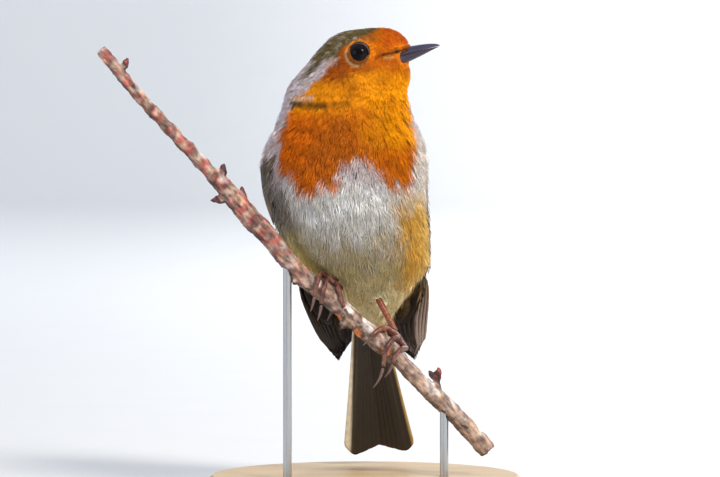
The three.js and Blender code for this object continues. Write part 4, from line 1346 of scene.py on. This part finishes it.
def tail_feathers():
    """The fan of feathers, seen mostly from below: dark, with pale edges on the outermost."""
    along = TAIL_TIP - TAIL_ROOT
    length = np.linalg.norm(along)
    across = np.array([1, 0, -along[0] / along[2]])
    across /= np.linalg.norm(across)
    upward = np.cross(across, along)
    upward /= np.linalg.norm(upward) * np.sign(upward[1])
    vanes = Vanes(TAIL_COUNT)
    rows, columns = 31, 11
    t, s = grid(rows, columns)
    t = t**0.85  # closer rows towards the tip
    middle_one = (TAIL_COUNT - 1) / 2
    for k in range(TAIL_COUNT):
        side = (k - middle_one) / middle_one
        rank = abs(k - middle_one) - 0.5
        fan = (1 - t) ** 2 * TAIL_HALF[0] + 2 * t * (1 - t) * TAIL_HALF[1] + t**2 * TAIL_HALF[2]
        half = (1.4 + 1.1 * t) * ease(t, -0.3, 0.2) * (1 - 0.12 * ease(t, 0.97, 1.0))
        sideways = side * (fan - 2.3) + half * s
        share = np.minimum(abs(sideways) / fan, 1)
        corner = np.maximum(share - 0.72, 0) / 0.28
        short = NOTCH * (1 - share) ** 1.4 + 2.1 * corner**1.8 + 0.35 * abs(s) ** 3 + 0.12 * (k % 2)
        short = short + (1.6 if side < 0 else 0.5) * ease(share, 0.55, 1.0) ** 1.5
        middle = TAIL_ROOT + along * (t - short * t**2 / length)[..., None]
        lift = 0.9 * (1 - (sideways / 10) ** 2) + 0.62 - 0.24 * rank - 0.1 * s * np.sign(side)
        place = middle + across * sideways[..., None] + upward * lift[..., None]
        outward = np.broadcast_to(upward, place.shape)
        shaft = np.exp(-((s / 0.14) ** 2)) * (1 - 0.8 * t)
        thick = 0.14 + 0.1 * (1 - s**2) + 0.3 * shaft
        tints = one_tone(rows, columns, "#251e16")
        outermost = rank > 4
        out_edge = s * np.sign(side) * np.ones_like(t)
        from_edge = 0.62 - 0.5 * t if side < 0 else 0.6  # where the pale edge begins
        rim = ease((out_edge - from_edge) / 0.35, 0, 1) if outermost else 0.5 * ease(out_edge, 0.6, 0.95)
        end = 0.5 * ease(t + 0 * s, 0.965, 0.995)
        pale = ("#e3d6bb" if side < 0 else "#c9a86a") if outermost else "#5e5038"
        layers = [(pale, 0.95 * rim), ("#6a5c46", 0.35 * shaft), ("#4a1f14", end * (1 - rim))]
        tints = painted(tints, layers)
        vanes.blade(place, outward, thick + 0 * s, tints)
    return vanes.mesh("tail_feathers")


keep(tail_feathers(), "flight_feathers", "tail", finish=vane_keratin)

# %% [markdown]
# ## Eyes
# A robin's eye is large, dark and wet: a clear cornea over a nearly black pupil with a thin ring
# of dark brown iris. A ball alone looks like a bead, so each eye is turned as a body of revolution
# whose front swells out a little as the cornea does, and a ring of bare lid skin closes round it.

# %% Eyes and lids
def turned_body(name, profile, place, axis, around=48):
    """A closed body of revolution: profile holds (along the axis, radius) from end to end."""
    axis = axis / np.linalg.norm(axis)
    one = np.cross(axis, [0.2, 0.1, 1.0])
    one /= np.linalg.norm(one)
    two = np.cross(axis, one)
    points, faces = [place + axis * profile[0][0]], []
    for h, r in profile[1:-1]:
        for j in range(around):
            a = 2 * math.pi * j / around
            points.append(place + axis * h + r * (one * math.cos(a) + two * math.sin(a)))
    points.append(place + axis * profile[-1][0])
    rings = len(profile) - 2
    for j in range(around):
        k = (j + 1) % around
        faces.append((0, 1 + k, 1 + j))
        for i in range(rings - 1):
            a, b = 1 + i * around, 1 + (i + 1) * around
            faces.append((a + j, a + k, b + k, b + j))
        last = 1 + (rings - 1) * around
        faces.append((last + j, last + k, len(points) - 1))
    return new_object(name, points, faces)


def wet_eye():
    """Clear cornea over a dark brown iris: a sharp gloss on near black."""
    eye = Finish("wet_cornea")
    ramp = add(eye.tree, "ShaderNodeValToRGB", {"Fac": eye.stored("from_axis")})
    stops = ramp.color_ramp.elements
    stops[0].position, stops[0].color = 0.42, linear("#05060a")
    stops[1].position, stops[1].color = 0.9, linear("#07080c")
    for position, tone in ((0.5, "#1a1210"), (0.72, "#120e10")):
        stops.new(position).color = linear(tone)
    return eye.surface({"Base Color": ramp, "Roughness": 0.04, "IOR": 1.376, "Specular IOR Level": 0.16})


def eyeball(name, sign):
    """A ball turned about the line from side to side, with the cornea swelling out of its front."""
    radius, cornea = 3.4, 0.28
    profile = []
    for a in np.radians(np.linspace(180, 0, 33)):
        swell = cornea * float(ease(np.array([math.cos(a)]), 0.55, 0.95)[0])
        profile.append(((radius + swell) * math.cos(a), (radius + swell) * math.sin(a)))
    made = turned_body("eyeball_" + name, profile, EYES[name], TO_LEFT * sign)
    d = points_of(made) - EYES[name]
    give(made, "from_axis", np.linalg.norm(np.cross(d, TO_LEFT), axis=1) / radius)
    return made


def lid_ring(name, sign):
    """Bare lid skin: a soft ring round the opening, a little longer than it is tall."""
    radius, asides, width, bulge = 2.92, 1.75, 0.26, 0.32  # of the ring, from the eye's middle, in mm
    axis = TO_LEFT * sign
    around, section = 72, 12
    points, faces = [], []
    for i in range(around):
        a = 2 * math.pi * i / around
        out = AHEAD * math.cos(a) * 1.05 + UPWARD * math.sin(a) * 0.97
        middle = EYES[name] + out * radius + axis * asides
        beads = 1 + 0.12 * math.sin(18 * a)
        for j in range(section):
            b = 2 * math.pi * j / section
            points.append(middle + out * width * math.cos(b) * beads + axis * bulge * math.sin(b) * beads)
    for i in range(around):
        for j in range(section):
            a, b = i * section, ((i + 1) % around) * section
            k = (j + 1) % section
            faces.append((a + j, a + k, b + k, b + j) if sign > 0 else (a + j, b + j, b + k, a + k))
    return new_object("lid_" + name, points, faces)


def lid_finish():
    """Thin bare skin with fine wrinkles, dark olive-brown and a little damp."""
    lid = Finish("lid_skin")
    wrinkle = lid.cells(lid.place(), 3500.0)
    tone = lid.mix(wrinkle, "#20140e", "#4a3220")
    return lid.surface({"Base Color": tone, "Roughness": 0.5, "Normal": lid.relief(wrinkle, 0.4, 0.00008)})


cornea_finish, lids = wet_eye(), lid_finish()
for name, sign in SIDES:
    keep(eyeball(name, sign), "eye", "eye_" + name, finish=cornea_finish)
for name, sign in SIDES:
    keep(lid_ring(name, sign), "leg_skin", finish=lids)

# %% [markdown]
# ## Bill
# The bill is bone under a horn sheath: thin, dark and a little glossy, paler at the root of the
# lower half. Each half is lofted from many rings, with a keel along the top and a slit nostril.

# %% Bill
BILL_BACK, BILL_BARE, BILL_TIP = 7.6, 8.5, 21.7  # mm ahead of the head's middle
BILL_HALVES = (("upper", 1, "#37324a", "#3a2a2c"), ("lower", -1, "#2e2234", "#4c4250"))


def mandible(name, upper):
    """Half of the bill as a fine loft; upper is 1 or -1."""
    steps, around, flat = 60, 28, 8  # rings, points in each, and how many of them lie in the mouth
    depth, reach = (2.25, 1.0) if upper > 0 else (2.5, 0.97)
    points, faces = [], []
    for i in range(steps + 1):
        ahead = BILL_BACK + (BILL_TIP - BILL_BACK) * ((i / steps) * reach)
        u = max((ahead - BILL_BARE) / (BILL_TIP - BILL_BARE), 0)
        mouth = -3.0 + 1.7 * u - 0.25 * u**6
        half = max(2.9 * (1 - u) ** 0.8, 0.12)
        tall = max(depth * ((1 - u) ** 0.45 if upper > 0 else 1 - u**1.5), 0.16)
        for j in range(around):
            if j <= around - flat:
                a = math.pi * j / (around - flat)
                keel = 1 + (0.05 * math.exp(-(((a - math.pi / 2) / 0.22) ** 2)) if upper > 0 else 0)
                side, up = half * math.cos(a), tall * math.sin(a) ** 0.8 * keel
                if upper > 0:
                    slit = math.exp(-(((u - 0.2) / 0.07) ** 2))  # nostril
                    slit *= math.exp(-(((math.sin(a) - 0.5) / 0.14) ** 2))
                    side *= 1 - 0.16 * slit
                    up -= 0.12 * slit * tall
            else:
                side, up = -half + 2 * half * (j - (around - flat)) / flat, 0.0
            points.append(head_point(ahead, side, mouth + upper * (0.06 + up)))
    for i in range(steps):
        for j in range(around):
            k = (j + 1) % around
            a, b = i * around, (i + 1) * around
            faces.append((a + j, a + k, b + k, b + j))
    points.append(head_point(BILL_BACK, 0, -3.0 + upper * 0.6))
    points.append(head_point(BILL_BACK + (BILL_TIP - BILL_BACK) * reach + 0.05, 0, -1.5 + upper * 0.1))
    last = steps * around
    for j in range(around):
        k = (j + 1) % around
        faces.append((len(points) - 2, k, j))
        faces.append((len(points) - 1, last + j, last + k))
    made = new_object(f"bill_{name}_horn", points, faces)
    reshaped(made, face_outwards)
    give(made, "root", 1 - ease(head_place(points_of(made))[0], 9.0, 12.5))
    return made


def horn_finish(name, dark, pale):
    """Horn sheath: dark and waxy, with grain along its length and a paler root."""
    horn = Finish(name)
    grain = horn.noise(horn.place(), detail=3.0, drawn=(250, 1500, 1500))
    tone = horn.mix(horn.stored("root"), dark, pale)
    colour = horn.shaded(tone, horn.remap(grain, 0.3, 0.7, 0.8, 1.25))
    relief = horn.relief(grain, 0.15, 0.00005)
    return horn.surface({"Base Color": colour, "Roughness": 0.33, "IOR": 1.55, "Normal": relief})


for name, upper, dark, pale in BILL_HALVES:
    horn = horn_finish(f"horn_{name}_bill", dark, pale)
    keep(mandible(name, upper), "horn", "bill_" + name, finish=horn)

# %% [markdown]
# ## Legs, feet and claws
# A perching bird's shank and toes are covered in small plates, scutes, over tendon and bone. The
# CAD feet already wrap the twig, so finer copies are remeshed from them. The plates are too shallow
# for the mesh: they are cells in the finish, as colour and as relief. The claws are subdivided.

# %% Feet, shanks and claws
def leg_finish():
    """Scaly leg skin: satin purple-brown plates, darker between them; the left shank is orange-brown."""
    leg = Finish("leg_scutes")
    place = leg.place()
    cell = leg.cells(place, 1100.0)
    blotch = leg.noise(place, 420.0, 3.0)
    tone = leg.mix(leg.remap(blotch, 0.36, 0.64, 0.0, 1.0), "#54282a", "#96604e")
    across, _, height = leg.split(place)
    high = leg.remap(height, 0.044, 0.049, 0.0, 0.8)
    on_left = leg.remap(across, 0.0, 0.002, 0.0, 1.0)
    tone = leg.mix(leg.times(high, on_left), tone, "#b0562a")
    colour = leg.shaded(tone, leg.remap(cell, 0.0, 0.7, 1.15, 0.5))
    relief = leg.relief(cell, 0.6, 0.00014, invert=True)
    return leg.surface({"Base Color": colour, "Roughness": 0.34, "Normal": relief})


LEG_VOXEL = 0.16  # mm
scutes = leg_finish()
claw_horn = horn_finish("horn_claw", "#6a5048", "#6a5048")
for side, _ in SIDES:
    for node, name in ((f"{part}_{side}", f"{part}_skin_{side}") for part in ("foot", "shank")):
        keep(fused([node], name, LEG_VOXEL, smoothing=5), "leg_skin", node, finish=scutes)
    for node in (f"claw_{side}_{toe}" for toe in ("outer", "middle", "inner", "hind")):
        claw = settled(modifier(merged_copy([node], node + "_horn"), "SUBSURF", levels=2, render_levels=2))
        claw.data.shade_smooth()
        give(claw, "root", np.zeros(len(claw.data.vertices)))
        keep(claw, "horn", node, finish=claw_horn)

# %% [markdown]
# ## Twig
# A young twig: red-brown bark with a pale bloom on its upper side, which is partly a painted highlight,
# painted shade on its underside, fine cracks, orange scars where leaves stood, and dark buds. The CAD twig
# is remeshed finely and roughened by ripples, of which one is drawn out along the twig. The colours are
# stored on its points, and a grain stretched the same way is laid over them.

# %% Colours of the bark
DOWN_TWIG = np.array([0.72, 0.0, -0.69])
TWIG_LINE = np.array(  # x, height and radius along the twig's middle
    [(-72.8, 124.2, 1.6), (-57.5, 106.4, 1.7), (-43.5, 91.2, 1.9), (-31.5, 77.4, 3.0), (-21.8, 66.4, 2.8),
     (-11, 56.6, 2.9), (-2, 48, 2.7), (7, 40.6, 2.8), (17, 29.9, 2.3), (27, 20.4, 2.5), (34.5, 12, 2.65)]
)  # fmt: skip
CRACKS = (1.1, 46)  # spacing in mm and seed
SCARS = [(-8.0, 49.6, 1.9), (-2.2, 45.6, 1.8), (6.0, 40.6, 1.9)]  # x, height, size
print("twig with", len(SCARS), "leaf scars")


def along_twig(p, share):
    """Points squeezed along the twig, so that a ripple over them is drawn out along it."""
    return p - share * (p @ DOWN_TWIG)[:, None] * DOWN_TWIG


def bark_colours(p, facing):
    """Red-brown bark that greys down the twig: pale bloom with a painted highlight on top, painted shade
    underneath, cracks, orange leaf scars, dark buds.
    """
    high = ease(p[:, 2], 50, 74)
    up = facing @ [-0.3, -0.35, 0.9]
    bloom_and_highlight = ease(up + 0.25 * ripple(p, 6.1, 43) + 0.1 * ripple(p, 3.7, 50), 0.3, 1.0)
    line, radius = (np.interp(p[:, 0], TWIG_LINE[:, 0], TWIG_LINE[:, i]) for i in (1, 2))
    off = 0.7 * abs(p[:, 2] - line) - radius  # how far a bud stands off the twig
    tone = painted(np.zeros((len(p), 3)), [
        ("#a68a7a", None),
        ("#a65a4e", high * ease(ripple(p, 4, 41), -1.0, 0.8)),
        ("#d0aa84", (0.3 + 0.3 * high) * ease(ripple(p, 5.3, 42), 0.4, 1.3)),
        # pale bloom on the upper side, partly a painted highlight where light falls on top
        ("#f6ece6", (0.9 - 0.55 * high) * bloom_and_highlight),
        ("#5a2a22", (0.35 + 0.35 * high) * ease(-ripple(p, 5.7, 44), 0.5, 1.3)),
        # painted shade: darker on the twig's underside
        ("#2e1812", 0.85 * ease(-up + 0.15 * ripple(p, 4.3, 45), -0.1, 0.55)),
        ("#2a1612", 0.8 * ease(-ripple(along_twig(p, 0.8), *CRACKS), 1.15, 1.7)),
        ("#3a1a20", 0.95 * ease(off, 0.4, 1.1)),
        ("#b04a38", 0.8 * ease(off, 0.8, 2.0) * ease(ripple(p, 1.3, 48), -0.1, 0.7)),
    ])  # fmt: skip
    for x, z, size in SCARS:
        d = np.hypot(p[:, 0] - x, p[:, 2] - z) + 0.3 * ripple(p, 0.9, 49)
        tone = paint(tone, "#d9731f", 0.8 * (1 - ease(d, 0.5 * size, size)))
        tone = paint(tone, "#3a1a12", 0.7 * (1 - ease(abs(d - size), 0.2, 0.7)))
    return np.clip(tone, 0, 1)


# %% Twig and its bark
def bark_finish():
    """Young bark: the colours stored on its points, with a fine grain along the twig."""
    bark = Finish("young_bark")
    place = bark.place()
    slope = (0, math.radians(-46.5), 0)
    turned = add(bark.tree, "ShaderNodeMapping", {"Vector": place, "Rotation": slope})
    grain = bark.noise(turned, detail=5.0, drawn=(260, 900, 900))
    blotch = bark.noise(place, 480.0, 4.0)
    shade = bark.times(bark.remap(grain, 0.36, 0.64, 0.5, 1.35), bark.remap(blotch, 0.36, 0.62, 0.5, 1.3))
    colour = bark.shaded(bark.stored("tint", "Color"), shade)
    return bark.surface({"Base Color": colour, "Roughness": 0.6, "Normal": bark.relief(grain, 0.8, 0.0003)})


twig = fused(["perch_twig"], "twig_bark", voxel=0.32, smoothing=3)
p, facing = points_of(twig), rows_of(twig.data.vertices, "normal")
drawn = along_twig(p, 0.75)
rough = 0.1 * ripple(drawn, 1.4, 31) + 0.12 * ripple(p, 3.5, 32) + 0.07 * ripple(p, 1.0, 33)
rough -= 0.35 * ease(-ripple(drawn, *CRACKS), 1.15, 1.7)  # the cracks are cut in
give(twig, "tint", with_alpha(bark_colours(p, facing)), "FLOAT_COLOR")
move(twig, p + facing * rough[:, None])
keep(twig, "bark", "perch_twig", finish=bark_finish())

# %% [markdown]
# ## Stand
# A plain turned disc of pale wood and two thin steel rods carry the twig, as in a museum case. They
# are shown as the CAD made them, with a material each. The wood's grain runs straight across it.

# %% Base and rods
def wood_finish():
    """Oiled maple: straight grain about 3 mm apart, satin."""
    wood = Finish("oiled_maple")
    grain = wood.noise(wood.place(), detail=4.0, drawn=(14, 330, 330))
    tone = wood.mix(grain, "#b08d62", "#dcc39c")
    return wood.surface({"Base Color": tone, "Roughness": 0.45, "Normal": wood.relief(grain, 0.1, 0.0001)})


def steel_finish():
    """Drawn steel rod: bright, with fine scratches along it."""
    steel = Finish("drawn_steel")
    scratches = steel.noise(steel.place(), drawn=(3000, 3000, 60))
    rough = steel.remap(scratches, 0.3, 0.7, 0.22, 0.36)
    return steel.surface({"Base Color": linear("#b9bbbd"), "Metallic": 1.0, "Roughness": rough})


maple, steel = wood_finish(), steel_finish()
for name, finish in (("stand_base", maple), ("stand_rod_right", steel), ("stand_rod_left", steel)):
    wear(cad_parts[name], finish)
    print(name, "wears", finish.name)
